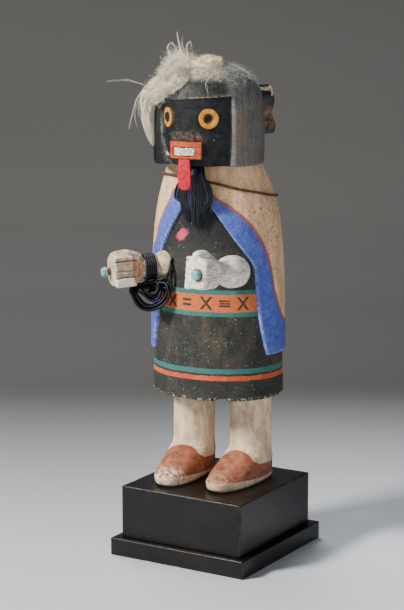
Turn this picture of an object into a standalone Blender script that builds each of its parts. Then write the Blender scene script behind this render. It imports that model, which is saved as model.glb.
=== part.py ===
"""Carved kachina doll on a two-step display stand.

The origin is at the centre of the stand's underside, +Z up, and the stand's front faces -Y.
The figure is modelled in a frame of its own, which an empty places on the stand: its origin
is on the stand's top, the figure faces -Y there, and its left side is +X. The carving is
given in parts: the figure is FIGURE_PARTS parts high, and part() turns parts into metres.
"""
from math import asin, atan2, cos, hypot, pi, radians, sin

import bmesh
import bpy
from mathutils import Matrix, Vector

# Driving dimensions of the figure, in metres
FIGURE_HEIGHT = 0.319
FIGURE_TURN = radians(7.5)
FIGURE_X = -0.0037
FIGURE_Y = 0.0082
TOUCH_GAP = 0.0003
CAPE_PROUD = 0.0026
EYE_DIAMETER = 0.0150
EYE_PROUD = 0.0021
PUPIL_DIAMETER = 0.0063
PUPIL_DEPTH = 0.0011
MOUTH_WIDTH = 0.0262
MOUTH_HEIGHT = 0.0124
MOUTH_PROUD = 0.0040
MOUTH_FRAME = 0.0026
TEETH_SINK = 0.0012
TOOTH_GROOVE = 0.0007
TONGUE_WIDTH = 0.0100
TONGUE_LENGTH = 0.0230
TONGUE_THICKNESS = 0.0018
STONE_DIAMETER = 0.0076
STONE_THICKNESS = 0.0042
STONE_PEG = {"right": 0.0028, "left": 0.0}
CORD_DIAMETER = 0.0020
YARN_BAND_WIDTH = 0.0105
YARN_BAND_THICKNESS = 0.0024
HANK_THICKNESS = 0.0080
HANK_ARM_GAP = 0.0028
TIE_DIAMETER = 0.0022

# Driving dimensions of the stand
BLOCK_WIDTH = 0.1040
BLOCK_DEPTH = 0.1073
BLOCK_HEIGHT = 0.0401
PLINTH_MARGIN = 0.0064
PLINTH_HEIGHT = 0.0135
STAND_EDGE = 0.0006

# Proportions of the carving, in parts of the figure's height
FIGURE_PARTS = 319.0
BODY_SIDES = 44
HEAD_SIDES = 44
MASK_SIDES = 72
FACE_STEPS = 18
FOOT_SIDES = 22
LIMB_SIDES = 16
THUMB_SIDES = 10
LOCK_SIDES = 10
STONE_SIDES = 18
EYE_SIDES = 24
BOBBIN_SIDES = 20
TIE_POINTS = 16
GROOVE_SIDES = 6
CHIP_SIDES = 10
SMOOTH_ANGLE = radians(35.0)
TUBE_SMOOTH_ANGLE = radians(60.0)
# Dress sections: height, half width, half depth, and how far the section sits forward
DRESS = (
    (68.9, 50.2, 41.0, 0.0),
    (70.4, 51.2, 42.0, 0.0),
    (88.0, 50.6, 41.6, 0.0),
    (115.0, 50.0, 41.0, 0.0),
    (145.0, 49.6, 40.6, 0.0),
    (171.0, 48.6, 39.8, 0.0),
    (195.0, 46.8, 38.0, 0.3),
    (212.0, 44.2, 35.8, 1.2),
    (224.0, 41.2, 32.6, 2.6),
    (236.0, 37.0, 28.6, 4.6),
    (250.0, 32.0, 23.6, 8.0),
)
# Hem chip: where it is along the front, its height and its radius
HEM_CHIP = (19.5, -39.4, 69.0, 2.4)
# Cape sections: height, angle of its front edges from the front, right side then left side
CAPE = (
    (103.0, -53.0, 66.5),
    (115.0, -50.0, 62.0),
    (132.0, -46.0, 57.5),
    (152.0, -43.5, 54.5),
    (170.0, -42.5, 52.7),
    (181.0, -40.0, 43.5),
    (192.0, -33.0, 33.0),
    (203.0, -25.0, 23.5),
    (212.0, -17.0, 15.5),
    (220.0, -7.0, 6.0),
)
CAPE_TOP = (226.0, 234.0, 242.0, 249.0)
CAPE_SEAM = radians(1.2)
CAPE_COLUMNS = 30
CAPE_SINK = 2.4
CAPE_MEAN_RADIUS = 45.0
# Head sections: height, and the half width seen in the section
HEAD_FORWARD = 17.7
HEAD_WIDE = 1.01
HEAD_DEEP = 0.955
HEAD_TURN = radians(-2.5)
HEAD = (
    (246.0, 41.0),
    (271.0, 41.3),
    (287.0, 40.4),
    (296.5, 38.4),
    (303.5, 35.0),
    (309.0, 31.0),
    (313.3, 26.0),
    (316.5, 19.0),
    (319.0, 9.0),
)
MASK_RADIUS = 36.6
JAW = ((226.0, 29.5), (246.0, 32.0), (255.0, 35.4), (263.0, MASK_RADIUS))
FACE_RIGHT = radians(-43.0)
FACE_LEFT = radians(51.0)
FACE_CUT_REACH = 60.0
FRINGE_HEIGHT = 295.0
FRINGE_TILT = 0.075
MASK_FIT_TOP = 300.0
LOCK_GROOVE_ANGLE = {"right": radians(-57.5), "left": radians(64.0)}
LOCK_GROOVE_RADIUS = 1.4
LOCK_GROOVE_LOW = 240.0
EYE_ANGLE = radians(26.0)
EYE_AT = 281.3
# Eye ring: shares of the outer radius and of how far it stands proud
EYE_RING = ((1.0, -1.0), (1.0, 0.62), (0.93, 0.92), (0.78, 1.0))
# Pupil hollow: shares of the pupil's radius and of its depth
PUPIL_HOLLOW = ((1.2, 0.0), (1.0, 0.5), (0.9, 1.0))
MOUTH_AT = 258.2
TEETH = 6
TOOTH_HEIGHT_SHARE = 0.54
MOUTH_STEPS = 8
TONGUE_ANGLE = radians(-1.5)
TONGUE_TOP_SHARE = 0.86
TONGUE_STEPS = 8
# Beard sections: height, half width, forward reach and half thickness
BEARD = (
    (245.6, 8.0, 45.6, 2.6),
    (240.0, 11.0, 44.6, 3.2),
    (231.0, 13.6, 43.8, 3.4),
    (222.0, 14.4, 43.6, 3.2),
    (214.0, 12.6, 43.5, 2.9),
    (208.5, 9.0, 43.0, 2.5),
    (204.5, 4.0, 42.4, 1.6),
)
BEARD_LOCKS = 7
BEARD_LOCK_DEPTH = 0.16
# Hair bobbin: place, and its turned outline as height and radius
BOBBIN_X = 32.6
BOBBIN_Y = 8.8
BOBBIN = (
    (266.5, 6.4),
    (268.5, 8.6),
    (272.5, 9.3),
    (277.0, 8.0),
    (280.5, 6.9),
    (285.0, 7.7),
    (291.0, 8.2),
    (295.5, 6.6),
    (297.5, 4.4),
    (302.5, 4.0),
)
BOBBIN_TIE_AT = 299.6
# Head fur: centre of its swelling, thickness on the crown and side, and its edges
FUR_CENTRE = 283.0
FUR_SIDE_THICKNESS = 8.8
FUR_CROWN_THICKNESS = 5.2
FUR_SUNK = -3.0
FUR_LUMP = 1.8
FUR_WAVES = (9.0, 2.0, 11.0, 1.0, 7.0)
FUR_LOW = 287.0
FUR_FRONT_LOW = 309.0
FUR_EDGE_TURN = radians(23.8)
FUR_EDGE_SIDE = 20.0
FUR_CROWN_SIDE = 4.0
FUR_CROWN_REACH = 18.0
FUR_FADE = 4.0
FUR_SUBDIVISIONS = 4
SEARCH_REACH = 90.0
SEARCH_STEPS = 24
# Hanging lock of the fur: place, height and radius along it
FUR_LOCK = (
    (-35.5, -37.0, 301.0, 4.6),
    (-39.2, -41.6, 296.0, 5.2),
    (-39.1, -41.5, 286.5, 5.0),
    (-38.5, -41.3, 277.6, 4.6),
    (-37.4, -40.8, 269.5, 3.6),
    (-36.4, -40.3, 263.6, 2.2),
    (-35.2, -39.8, 259.2, 0.7),
)
# Shoulder cord: mean height, how much it tilts, and where it is highest
CORD_AT = 228.0
CORD_TILT = 8.8
CORD_HIGH = radians(-45.0)
CORD_POINTS = 44
CORD_CLEARANCE = 0.25
# Legs and feet: height, toe reach, heel reach and half width at each section of the foot
LEG_X = 23.8
LEG_Y = 9.0
LEG_RADIUS = 16.0
LEG_TOP = 78.0
FOOT_TURN = {"right": radians(-1.0), "left": radians(-7.5)}
FOOT = (
    (0.0, 52.5, 17.5, 14.0),
    (2.2, 55.6, 18.6, 16.0),
    (7.0, 56.2, 18.8, 16.6),
    (10.0, 52.0, 18.0, 16.6),
    (14.0, 42.0, 17.0, 16.5),
    (18.5, 31.0, 16.6, 16.3),
    (23.5, 19.5, 16.2, 16.1),
    (28.0, 16.4, 16.0, 16.0),
)
FOOT_TAPER = 0.13
FOOT_POWER = 2.45
# Arms: elbow centre, turn outward, rise, wrist radius, hand length, thumb height
ARM = {
    "right": (-26.3, -23.1, 168.4, radians(-48.4), radians(-4.0), 7.8, 24.7, 11.6),
    "left": (30.0, -40.0, 168.7, radians(-14.0), radians(5.6), 8.7, 20.8, 12.8),
}
# Forearm stations from the elbow's centre: distance and radius; the wrist follows them
FOREARM = (
    (-11.4, 3.4),
    (-10.0, 6.6),
    (-6.6, 9.9),
    (-2.0, 11.8),
    (4.0, 12.0),
    (8.8, 11.2),
    (12.2, 9.4),
)
WRIST_FROM = 14.2
WRIST_TO = 25.2
# Hand sections: share of the hand's length, half width and half height
HAND = (
    (0.10, 9.0, 10.2),
    (0.28, 9.6, 11.4),
    (0.86, 9.6, 11.6),
    (0.97, 9.0, 11.0),
    (1.0, 7.8, 9.8),
)
HAND_POWER = 3.2
HAND_ROOT_POWER = 2.4
# Fingers: share of the hand's length where they end, and their thickness; they start at the palm's end
FINGERS = 4
FINGER_END = 0.93
FINGER_HALF = 2.85
FINGER_OVERLAP = 0.3
FINGER_PROUD = 1.5
FINGER_ROOT = 1.0
FINGER_BEVEL = 1.3
PALM_SPAN = (0.06, 0.30)
PALM_SINK = 5.0
PALM_HALF = 7.6
PALM_BEVEL = 1.8
# Thumb: share of the hand's length, half width and half height
THUMB = (
    (0.04, 2.0, 1.6),
    (0.16, 3.6, 2.8),
    (0.45, 4.4, 3.6),
    (0.78, 4.4, 3.7),
    (0.93, 3.4, 2.8),
    (0.98, 1.6, 1.2),
)
THUMB_DROP = 1.2
THUMB_INWARD = 1.5
# Stone: its peg and its sections, as shares of its radius and of its thickness
STONE_PEG_SHARE = 0.74
STONE = ((0.94, 0.0), (1.0, 0.2), (1.0, 0.62), (0.86, 0.9), (0.5, 1.0))
YARN_SIDES = 24
YARN_EDGE_SHARE = 0.35
# Yarn hank: where it hangs, its direction, and its outline along that direction and in height
HANK_X = -26.0
HANK_Y = -40.4
HANK_TURN = radians(-68.2)
HANK = (
    (-3.4, 163.0),
    (-4.2, 152.5),
    (-2.5, 145.5),
    (1.3, 141.3),
    (5.6, 137.3),
    (11.0, 134.9),
    (17.0, 134.1),
    (20.4, 137.0),
    (23.4, 142.2),
    (25.2, 148.4),
    (25.8, 153.6),
    (23.4, 161.0),
)
# Hank swelling: shares of its half thickness and of its outline
HANK_SWELL = ((-1.0, 0.82), (-0.6, 0.97), (0.0, 1.0), (0.6, 0.97), (1.0, 0.82))


def part(*values):
    """Parts of the figure's height as metres."""
    scaled = [value * FIGURE_HEIGHT / FIGURE_PARTS for value in values]
    return scaled[0] if len(scaled) == 1 else scaled


def between(table, height, column):
    """Value of a table's column at a height, on straight lines between its rows."""
    rows = sorted(table)
    if height <= rows[0][0]:
        return rows[0][column]
    for low, high in zip(rows, rows[1:]):
        if height <= high[0]:
            share = (height - low[0]) / (high[0] - low[0])
            return low[column] + share * (high[column] - low[column])
    return rows[-1][column]


# Scene, materials and objects
def clear_scene():
    for item in list(bpy.data.objects):
        bpy.data.objects.remove(item, do_unlink=True)


def new_collection(name):
    group = bpy.data.collections.new(name)
    bpy.context.scene.collection.children.link(group)
    return group


def new_material(name, colour, roughness, metallic=0.0):
    material = bpy.data.materials.new(name)
    material.use_nodes = True
    shader = material.node_tree.nodes["Principled BSDF"]
    shader.inputs["Base Color"].default_value = (*colour, 1.0)
    shader.inputs["Roughness"].default_value = roughness
    shader.inputs["Metallic"].default_value = metallic
    material.diffuse_color = (*colour, 1.0)
    return material


def smooth(mesh, angle=SMOOTH_ANGLE):
    mesh.shade_smooth()
    mesh.set_sharp_from_angle(angle=angle)


def add_piece(name, mesh, group, parent=None, material=None):
    piece = bpy.data.objects.new(name, mesh)
    group.objects.link(piece)
    piece.parent = parent
    if material is not None:
        mesh.materials.append(material)
    return piece


def add_cutter(name, mesh, parent=None):
    cutter = add_piece(name, mesh, CUTTERS, parent)
    cutter.hide_render = True
    cutter.display_type = "WIRE"
    return cutter


def combine(piece, other, operation):
    modifier = piece.modifiers.new(operation.title() + " " + other.name, "BOOLEAN")
    modifier.object = other
    modifier.operation = operation
    modifier.solver = "EXACT"


# Mesh builders
def loft(name, rings):
    """Closed solid through rings of equal length, flat at both ends."""
    mesh = bpy.data.meshes.new(name)
    work = bmesh.new()
    levels = [[work.verts.new(point) for point in ring] for ring in rings]
    count = len(levels[0])
    for lower, upper in zip(levels, levels[1:]):
        for index in range(count):
            following = (index + 1) % count
            work.faces.new((lower[index], lower[following], upper[following], upper[index]))
    work.faces.new(list(reversed(levels[0])))
    work.faces.new(levels[-1])
    bmesh.ops.recalc_face_normals(work, faces=work.faces)
    work.to_mesh(mesh)
    work.free()
    smooth(mesh)
    return mesh


def signed_power(value, power):
    return abs(value) ** (2.0 / power) * (1.0 if value >= 0.0 else -1.0)


def ellipse(half_width, half_depth, height, sides, centre=(0.0, 0.0), power=2.0):
    """Level ring of a rounded outline; power 2 is an ellipse, more is squarer."""
    ring = []
    for index in range(sides):
        angle = 2.0 * pi * index / sides
        x = half_width * signed_power(cos(angle), power)
        y = half_depth * signed_power(sin(angle), power)
        ring.append(Vector((centre[0] + x, centre[1] + y, height)))
    return ring


def upright(ring, station):
    """A level ring stood up across the arm's axis, which runs along -Y."""
    return [Vector((point.x, -station, point.y)) for point in ring]


def box_mesh(name, size, centre, bevel=0.0, segments=2):
    mesh = bpy.data.meshes.new(name)
    work = bmesh.new()
    place = Matrix.Translation(centre) @ Matrix.Diagonal((*size, 1.0))
    bmesh.ops.create_cube(work, size=1.0, matrix=place)
    if bevel:
        bmesh.ops.bevel(
            work, geom=list(work.edges), offset=bevel, segments=segments, profile=0.5, affect="EDGES"
        )
    work.to_mesh(mesh)
    work.free()
    return mesh


def turned_mesh(name, profile, sides):
    """Solid turned about Z from a profile of (radius, height), bottom to top."""
    rings = []
    for radius, height in profile:
        rings.append(ellipse(radius, radius, height, sides))
    return loft(name, rings)


def tube_mesh(name, points, radius, cyclic=False):
    """Round tube of eight sides through the points."""
    curve = bpy.data.curves.new(name, "CURVE")
    curve.dimensions = "3D"
    curve.bevel_depth = radius
    curve.bevel_resolution = 2
    curve.use_fill_caps = True
    spline = curve.splines.new("POLY")
    spline.points.add(len(points) - 1)
    for target, point in zip(spline.points, points):
        target.co = (*point, 1.0)
    spline.use_cyclic_u = cyclic
    holder = bpy.data.objects.new(name, curve)
    bpy.context.scene.collection.objects.link(holder)
    graph = bpy.context.evaluated_depsgraph_get()
    mesh = bpy.data.meshes.new_from_object(holder.evaluated_get(graph))
    bpy.data.objects.remove(holder, do_unlink=True)
    bpy.data.curves.remove(curve)
    work = bmesh.new()
    work.from_mesh(mesh)
    bmesh.ops.remove_doubles(work, verts=work.verts, dist=1e-6)
    work.to_mesh(mesh)
    work.free()
    smooth(mesh, TUBE_SMOOTH_ANGLE)
    return mesh


# Outlines that several pieces share; grow swells the outline for a clearance
def dress_mesh(name, grow=0.0):
    rings = []
    for height, half_width, half_depth, forward in DRESS:
        width = part(half_width) + grow
        depth = part(half_depth) + grow
        rings.append(ellipse(width, depth, part(height), BODY_SIDES, (0.0, -part(forward))))
    return loft(name, rings)


def cape_radii(height):
    """Outer half width, half depth and forward shift of the cape, in metres."""
    half_width = part(between(DRESS, height, 1)) + CAPE_PROUD
    half_depth = part(between(DRESS, height, 2)) + CAPE_PROUD
    return half_width, half_depth, part(between(DRESS, height, 3))


def cape_point(height, angle, offset=0.0):
    """Point on the cape's outer face; the angle is from the front, toward the left."""
    half_width, half_depth, forward = cape_radii(height)
    x = (half_width + offset) * sin(angle)
    y = -(half_depth + offset) * cos(angle) - forward
    return Vector((x, y, part(height)))


def cape_mesh(name, grow=0.0):
    """Shell round the back and sides, open in front between its two edges."""
    rows = [(height, radians(right), radians(left)) for height, right, left in CAPE]
    rows += [(height, -CAPE_SEAM, CAPE_SEAM) for height in CAPE_TOP]
    step = grow / part(CAPE_MEAN_RADIUS)
    depth = part(CAPE_SINK) + CAPE_PROUD
    mesh = bpy.data.meshes.new(name)
    work = bmesh.new()
    faces = {}
    for layer, offset in (("outer", grow), ("inner", -depth)):
        for row, (height, right, left) in enumerate(rows):
            low = height - (grow / part(1.0) if row == 0 else 0.0)
            start = left - step
            turn = 2.0 * pi - left + right + 2.0 * step
            for column in range(CAPE_COLUMNS + 1):
                angle = start + turn * column / CAPE_COLUMNS
                point = cape_point(low, angle, offset)
                faces[layer, row, column] = work.verts.new(point)
    last = len(rows) - 1
    for row in range(last):
        for column in range(CAPE_COLUMNS):
            corners = ((row, column), (row, column + 1), (row + 1, column + 1), (row + 1, column))
            work.faces.new([faces["outer", *corner] for corner in corners])
            work.faces.new([faces["inner", *corner] for corner in reversed(corners)])
    for column in range(CAPE_COLUMNS):
        for row in (0, last):
            edge = (("outer", row, column), ("outer", row, column + 1))
            edge += (("inner", row, column + 1), ("inner", row, column))
            work.faces.new([faces[corner] for corner in edge])
    for row in range(last):
        for column in (0, CAPE_COLUMNS):
            edge = (("outer", row, column), ("outer", row + 1, column))
            edge += (("inner", row + 1, column), ("inner", row, column))
            work.faces.new([faces[corner] for corner in edge])
    bmesh.ops.recalc_face_normals(work, faces=work.faces)
    work.to_mesh(mesh)
    work.free()
    smooth(mesh)
    return mesh


def hair_mesh(name, grow=0.0):
    rings = []
    for height, half in HEAD:
        width = part(half) * HEAD_WIDE + grow
        depth = part(half) * HEAD_DEEP + grow
        level = part(height)
        if height == HEAD[-1][0]:
            level += grow
        if height == HEAD[0][0]:
            level -= grow
        rings.append(ellipse(width, depth, level, HEAD_SIDES, (0.0, -part(HEAD_FORWARD))))
    return loft(name, rings)


def head_direction(angle):
    """Level direction from the head's axis; the angle is from the face's front, toward the left."""
    turned = angle + HEAD_TURN
    return Vector((sin(turned), -cos(turned), 0.0))


def mask_point(angle, radius, height):
    """Point round the head's axis at a radius and height in metres."""
    point = Vector((0.0, -part(HEAD_FORWARD), height)) + head_direction(angle) * radius
    return point


def face_cut_mesh(name):
    """Sector that is carved away in front of the mask, up to the fringe."""
    rows = list(JAW) + [(FRINGE_HEIGHT, MASK_RADIUS)]
    rings = []
    for height, radius in rows:
        ring = []
        for index in range(FACE_STEPS + 1):
            angle = FACE_RIGHT + (FACE_LEFT - FACE_RIGHT) * index / FACE_STEPS
            ring.append(mask_point(angle, part(radius), part(height)))
        for index in range(FACE_STEPS, -1, -1):
            angle = FACE_RIGHT + (FACE_LEFT - FACE_RIGHT) * index / FACE_STEPS
            ring.append(mask_point(angle, part(FACE_CUT_REACH), part(height)))
        if height == FRINGE_HEIGHT:
            for point in ring:
                point.z += FRINGE_TILT * point.x
        rings.append(ring)
    return loft(name, rings)


def mask_mesh(name, grow):
    """The mask as a whole turned form, swollen by a clearance, for what is fitted on it."""
    rings = []
    centre = (0.0, -part(HEAD_FORWARD))
    for height, radius in JAW + ((MASK_FIT_TOP, MASK_RADIUS),):
        grown = part(radius) + grow
        rings.append(ellipse(grown, grown, part(height), MASK_SIDES, centre))
    return loft(name, rings)


def foot_mesh(name, side):
    """Leg and foot as level sections; the toe runs along -Y, turned in or out."""
    sign = 1.0 if side == "left" else -1.0
    sections = list(FOOT) + [(LEG_TOP, LEG_RADIUS, LEG_RADIUS, LEG_RADIUS)]
    turn = Matrix.Rotation(FOOT_TURN[side], 3, "Z")
    rings = []
    for height, toe, heel, half in sections:
        share = min(1.0, (toe - LEG_RADIUS) / LEG_RADIUS)
        power = 2.0 + (FOOT_POWER - 2.0) * share
        ring = []
        for index in range(FOOT_SIDES):
            angle = 2.0 * pi * index / FOOT_SIDES
            x = half * signed_power(sin(angle), power) * (1.0 - FOOT_TAPER * share * cos(angle))
            y = (heel - toe) / 2.0 - (toe + heel) / 2.0 * signed_power(cos(angle), power)
            point = turn @ Vector((x, y, 0.0))
            ring.append(Vector(part(sign * LEG_X + point.x, LEG_Y + point.y, height)))
        rings.append(ring)
    return loft(name, rings)


# The carved figure
def build_figure():
    wood = new_material("painted root wood", (0.062, 0.060, 0.052), 0.75)
    figure = add_piece("figure", dress_mesh("figure"), PIECES, PLACE, wood)
    for side in ("right", "left"):
        combine(figure, add_cutter("leg_" + side, foot_mesh("leg_" + side, side), PLACE), "UNION")
    combine(figure, add_cutter("cape", cape_mesh("cape"), PLACE), "UNION")
    combine(figure, build_head(), "UNION")
    x, y, height, radius = part(*HEM_CHIP)
    chip = add_cutter("hem_chip", ball_mesh("hem_chip", (x, y, height), radius, CHIP_SIDES), PLACE)
    combine(figure, chip, "DIFFERENCE")
    return figure


def build_head():
    head = add_cutter("head", hair_mesh("head"), PLACE)
    combine(head, add_cutter("face_cut", face_cut_mesh("face_cut"), PLACE), "DIFFERENCE")
    half = part(between(HEAD, HEAD[1][0], 1))
    radius = part(LOCK_GROOVE_RADIUS)
    for side in ("right", "left"):
        direction = head_direction(LOCK_GROOVE_ANGLE[side])
        x = half * HEAD_WIDE * direction.x
        y = half * HEAD_DEEP * direction.y - part(HEAD_FORWARD)
        profile = ((radius, part(LOCK_GROOVE_LOW)), (radius, part(FRINGE_HEIGHT)))
        name = "lock_groove_" + side
        groove = add_cutter(name, turned_mesh(name, profile, GROOVE_SIDES), PLACE)
        groove.location = (x, y, 0.0)
        combine(head, groove, "DIFFERENCE")
    return head


def ball_mesh(name, centre, radius, sides):
    mesh = bpy.data.meshes.new(name)
    work = bmesh.new()
    place = Matrix.Translation(centre)
    rows = sides // 2 + 1
    bmesh.ops.create_uvsphere(work, u_segments=sides, v_segments=rows, radius=radius, matrix=place)
    work.to_mesh(mesh)
    work.free()
    return mesh


# Pieces fitted on the head
def arc_block(name, inner, outer, half_angle, low, high, steps):
    """Block curved round the head's axis, between two radii, angles and heights in metres."""
    rings = []
    for height in (low, high):
        ring = []
        for index in range(steps + 1):
            angle = -half_angle + 2.0 * half_angle * index / steps
            ring.append(mask_point(angle, inner, height))
        for index in range(steps, -1, -1):
            angle = -half_angle + 2.0 * half_angle * index / steps
            ring.append(mask_point(angle, outer, height))
        rings.append(ring)
    return loft(name, rings)


def build_mouth(mask):
    paint = new_material("orange paint", (0.62, 0.16, 0.06), 0.6)
    front = part(MASK_RADIUS) + MOUTH_PROUD
    middle = part(MOUTH_AT)
    low = middle - MOUTH_HEIGHT / 2.0
    high = middle + MOUTH_HEIGHT / 2.0
    half_angle = asin(MOUTH_WIDTH / 2.0 / front)
    back = part(MASK_RADIUS) - MOUTH_PROUD
    block = arc_block("mouth", back, front, half_angle, low, high, MOUTH_STEPS)
    mouth = add_piece("mouth", block, PIECES, PLACE, paint)
    combine(mouth, mask, "DIFFERENCE")
    inner_angle = asin((MOUTH_WIDTH / 2.0 - MOUTH_FRAME) / front)
    teeth_face = front - TEETH_SINK
    reach = front + MOUTH_PROUD
    low += MOUTH_FRAME
    high -= MOUTH_FRAME
    recess = arc_block("mouth_recess", teeth_face, reach, inner_angle, low, high, MOUTH_STEPS)
    combine(mouth, add_cutter("mouth_recess", recess, PLACE), "DIFFERENCE")
    for index in range(1, TEETH):
        angle = inner_angle * (2.0 * index / TEETH - 1.0)
        size = (TOOTH_GROOVE, 2.0 * TOOTH_GROOVE, MOUTH_HEIGHT * TOOTH_HEIGHT_SHARE)
        name = "tooth_groove_%d" % index
        groove = add_cutter(name, box_mesh(name, size, (0.0, 0.0, 0.0)), PLACE)
        groove.location = mask_point(angle, teeth_face, middle)
        groove.rotation_euler = (0.0, 0.0, angle + HEAD_TURN)
        combine(mouth, groove, "DIFFERENCE")


def build_tongue():
    """Strip that hangs straight down from the mouth's underside, with a round end."""
    leather = new_material("red leather", (0.55, 0.03, 0.05), 0.55)
    top = part(MOUTH_AT) - MOUTH_HEIGHT / 2.0 - TOUCH_GAP
    half = TONGUE_WIDTH / 2.0
    outline = [(-TONGUE_TOP_SHARE * half, 0.0), (TONGUE_TOP_SHARE * half, 0.0)]
    for index in range(TONGUE_STEPS + 1):
        angle = pi * index / TONGUE_STEPS
        outline.append((half * cos(angle), half - TONGUE_LENGTH - half * sin(angle)))
    rings = []
    for depth in (-TONGUE_THICKNESS / 2.0, TONGUE_THICKNESS / 2.0):
        rings.append([Vector((x, depth, z)) for x, z in outline])
    tongue = add_piece("tongue", loft("tongue", rings), PIECES, PLACE, leather)
    front = part(MASK_RADIUS) + MOUTH_PROUD - TONGUE_THICKNESS
    tongue.location = mask_point(TONGUE_ANGLE, front, top)
    tongue.rotation_euler = (0.0, 0.0, HEAD_TURN)


def build_eyes(mask):
    outer = EYE_DIAMETER / 2.0
    pupil = PUPIL_DIAMETER / 2.0
    profile = [(outer * across, EYE_PROUD * along) for across, along in EYE_RING]
    profile += [(pupil * across, EYE_PROUD - PUPIL_DEPTH * along) for across, along in PUPIL_HOLLOW]
    for side, sign in (("right", -1.0), ("left", 1.0)):
        name = "eye_" + side
        ochre = new_material("ochre paint " + side, (0.55, 0.32, 0.04), 0.55)
        eye = add_piece(name, turned_mesh(name, profile, EYE_SIDES), PIECES, PLACE, ochre)
        eye.location = mask_point(sign * EYE_ANGLE, part(MASK_RADIUS), part(EYE_AT))
        eye.rotation_euler = (radians(90.0), 0.0, sign * EYE_ANGLE + HEAD_TURN)
        combine(eye, mask, "DIFFERENCE")


def build_beard():
    strands = new_material("blue-black hair", (0.012, 0.015, 0.03), 0.4)
    rings = []
    sides = 4 * BEARD_LOCKS
    for height, half, forward, thick in BEARD:
        ring = []
        for index in range(sides):
            angle = 2.0 * pi * index / sides
            swell = 1.0 - BEARD_LOCK_DEPTH * (0.5 + 0.5 * cos(2.0 * BEARD_LOCKS * angle))
            x = half * cos(angle)
            y = thick * sin(angle) * swell - forward
            ring.append(Vector(part(x, y, height)))
        rings.append(ring)
    add_piece("beard", loft("beard", rings), PIECES, PLACE, strands)


def build_bobbin(hair):
    wood = new_material("black painted wood", (0.05, 0.045, 0.04), 0.7)
    profile = [(part(radius), part(height)) for height, radius in BOBBIN]
    turned = turned_mesh("hair_bobbin", profile, BOBBIN_SIDES)
    bobbin = add_piece("hair_bobbin", turned, PIECES, PLACE, wood)
    bobbin.location = part(BOBBIN_X, BOBBIN_Y, 0.0)
    combine(bobbin, hair, "DIFFERENCE")
    cotton = new_material("cream cotton", (0.62, 0.52, 0.38), 0.9)
    ring = part(between(BOBBIN, BOBBIN_TIE_AT, 1)) + TIE_DIAMETER / 2.0 + TOUCH_GAP
    points = []
    for index in range(TIE_POINTS):
        angle = 2.0 * pi * index / TIE_POINTS
        points.append((ring * cos(angle), ring * sin(angle), 0.0))
    mesh = tube_mesh("bobbin_tie", points, TIE_DIAMETER / 2.0, cyclic=True)
    tie = add_piece("bobbin_tie", mesh, PIECES, PLACE, cotton)
    tie.location = part(BOBBIN_X, BOBBIN_Y, BOBBIN_TIE_AT)
    combine(tie, hair, "DIFFERENCE")


def hair_distance(direction):
    """Distance in parts from the fur's centre to the hair along a direction."""
    low = 0.0
    high = SEARCH_REACH
    for step in range(SEARCH_STEPS):
        middle = (low + high) / 2.0
        height = FUR_CENTRE + direction.z * middle
        half = between(HEAD, height, 1)
        x = direction.x * middle / HEAD_WIDE
        y = direction.y * middle / HEAD_DEEP
        inside = HEAD[0][0] < height < HEAD[-1][0] and hypot(x, y) < half
        if inside:
            low = middle
        else:
            high = middle
    return low


def fur_thickness(direction):
    """Fur over the hair in parts; it covers the crown and the right front of the head."""
    reach = hair_distance(direction)
    x = direction.x * reach
    y = direction.y * reach
    height = FUR_CENTRE + direction.z * reach
    side = -(x * cos(FUR_EDGE_TURN) + (y - HEAD_FORWARD) * sin(FUR_EDGE_TURN))
    round_angle = atan2(x, -y)
    low_edge = FUR_LOW + (FUR_FRONT_LOW - FUR_LOW) * ((round_angle + pi / 2.0) / (pi / 2.0)) ** 2
    inside_side = min(side - FUR_EDGE_SIDE, height - low_edge)
    on_top = FUR_CROWN_REACH - hypot(x, y) if direction.z > 0.0 else -FUR_CROWN_REACH
    inside_crown = min(side + FUR_CROWN_SIDE, on_top)
    x_wave = sin(FUR_WAVES[0] * direction.x + FUR_WAVES[1])
    y_wave = sin(FUR_WAVES[2] * direction.y + FUR_WAVES[3])
    lump = FUR_LUMP * (x_wave * y_wave + sin(FUR_WAVES[4] * direction.z))
    on_side = min(1.0, max(0.0, inside_side / FUR_FADE))
    on_crown = min(1.0, max(0.0, inside_crown / FUR_FADE))
    thick = max(on_side * (FUR_SIDE_THICKNESS + lump), on_crown * (FUR_CROWN_THICKNESS + lump))
    return thick if thick > 0.0 else FUR_SUNK


def build_fur(hair):
    fur_hair = new_material("cream fur", (0.62, 0.56, 0.46), 0.9)
    mesh = bpy.data.meshes.new("head_fur")
    work = bmesh.new()
    bmesh.ops.create_icosphere(work, subdivisions=FUR_SUBDIVISIONS, radius=1.0)
    for vertex in work.verts:
        direction = vertex.co.normalized()
        radius = hair_distance(direction) + fur_thickness(direction)
        point = direction * radius
        vertex.co = part(point.x, point.y - HEAD_FORWARD, point.z + FUR_CENTRE)
    work.to_mesh(mesh)
    work.free()
    smooth(mesh)
    fur = add_piece("head_fur", mesh, PIECES, PLACE, fur_hair)
    rings = []
    for x, y, height, radius in FUR_LOCK:
        rings.append(ellipse(part(radius), part(radius), part(height), LOCK_SIDES, part(x, y)))
    lock = add_cutter("fur_lock", loft("fur_lock", rings), PLACE)
    combine(fur, lock, "UNION")
    combine(fur, hair, "DIFFERENCE")


# Cord and yarn
def cord_centre(angle):
    """Centre of the shoulder cord at an angle from the front, toward the left."""
    height = CORD_AT + CORD_TILT * cos(angle - CORD_HIGH)
    return cape_point(height, angle, CORD_DIAMETER / 2.0 + TOUCH_GAP + part(CORD_CLEARANCE))


def build_cord():
    twine = new_material("brown twine", (0.09, 0.035, 0.018), 0.8)
    points = [cord_centre(2.0 * pi * index / CORD_POINTS) for index in range(CORD_POINTS)]
    mesh = tube_mesh("shoulder_cord", points, CORD_DIAMETER / 2.0, cyclic=True)
    add_piece("shoulder_cord", mesh, PIECES, PLACE, twine)


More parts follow.
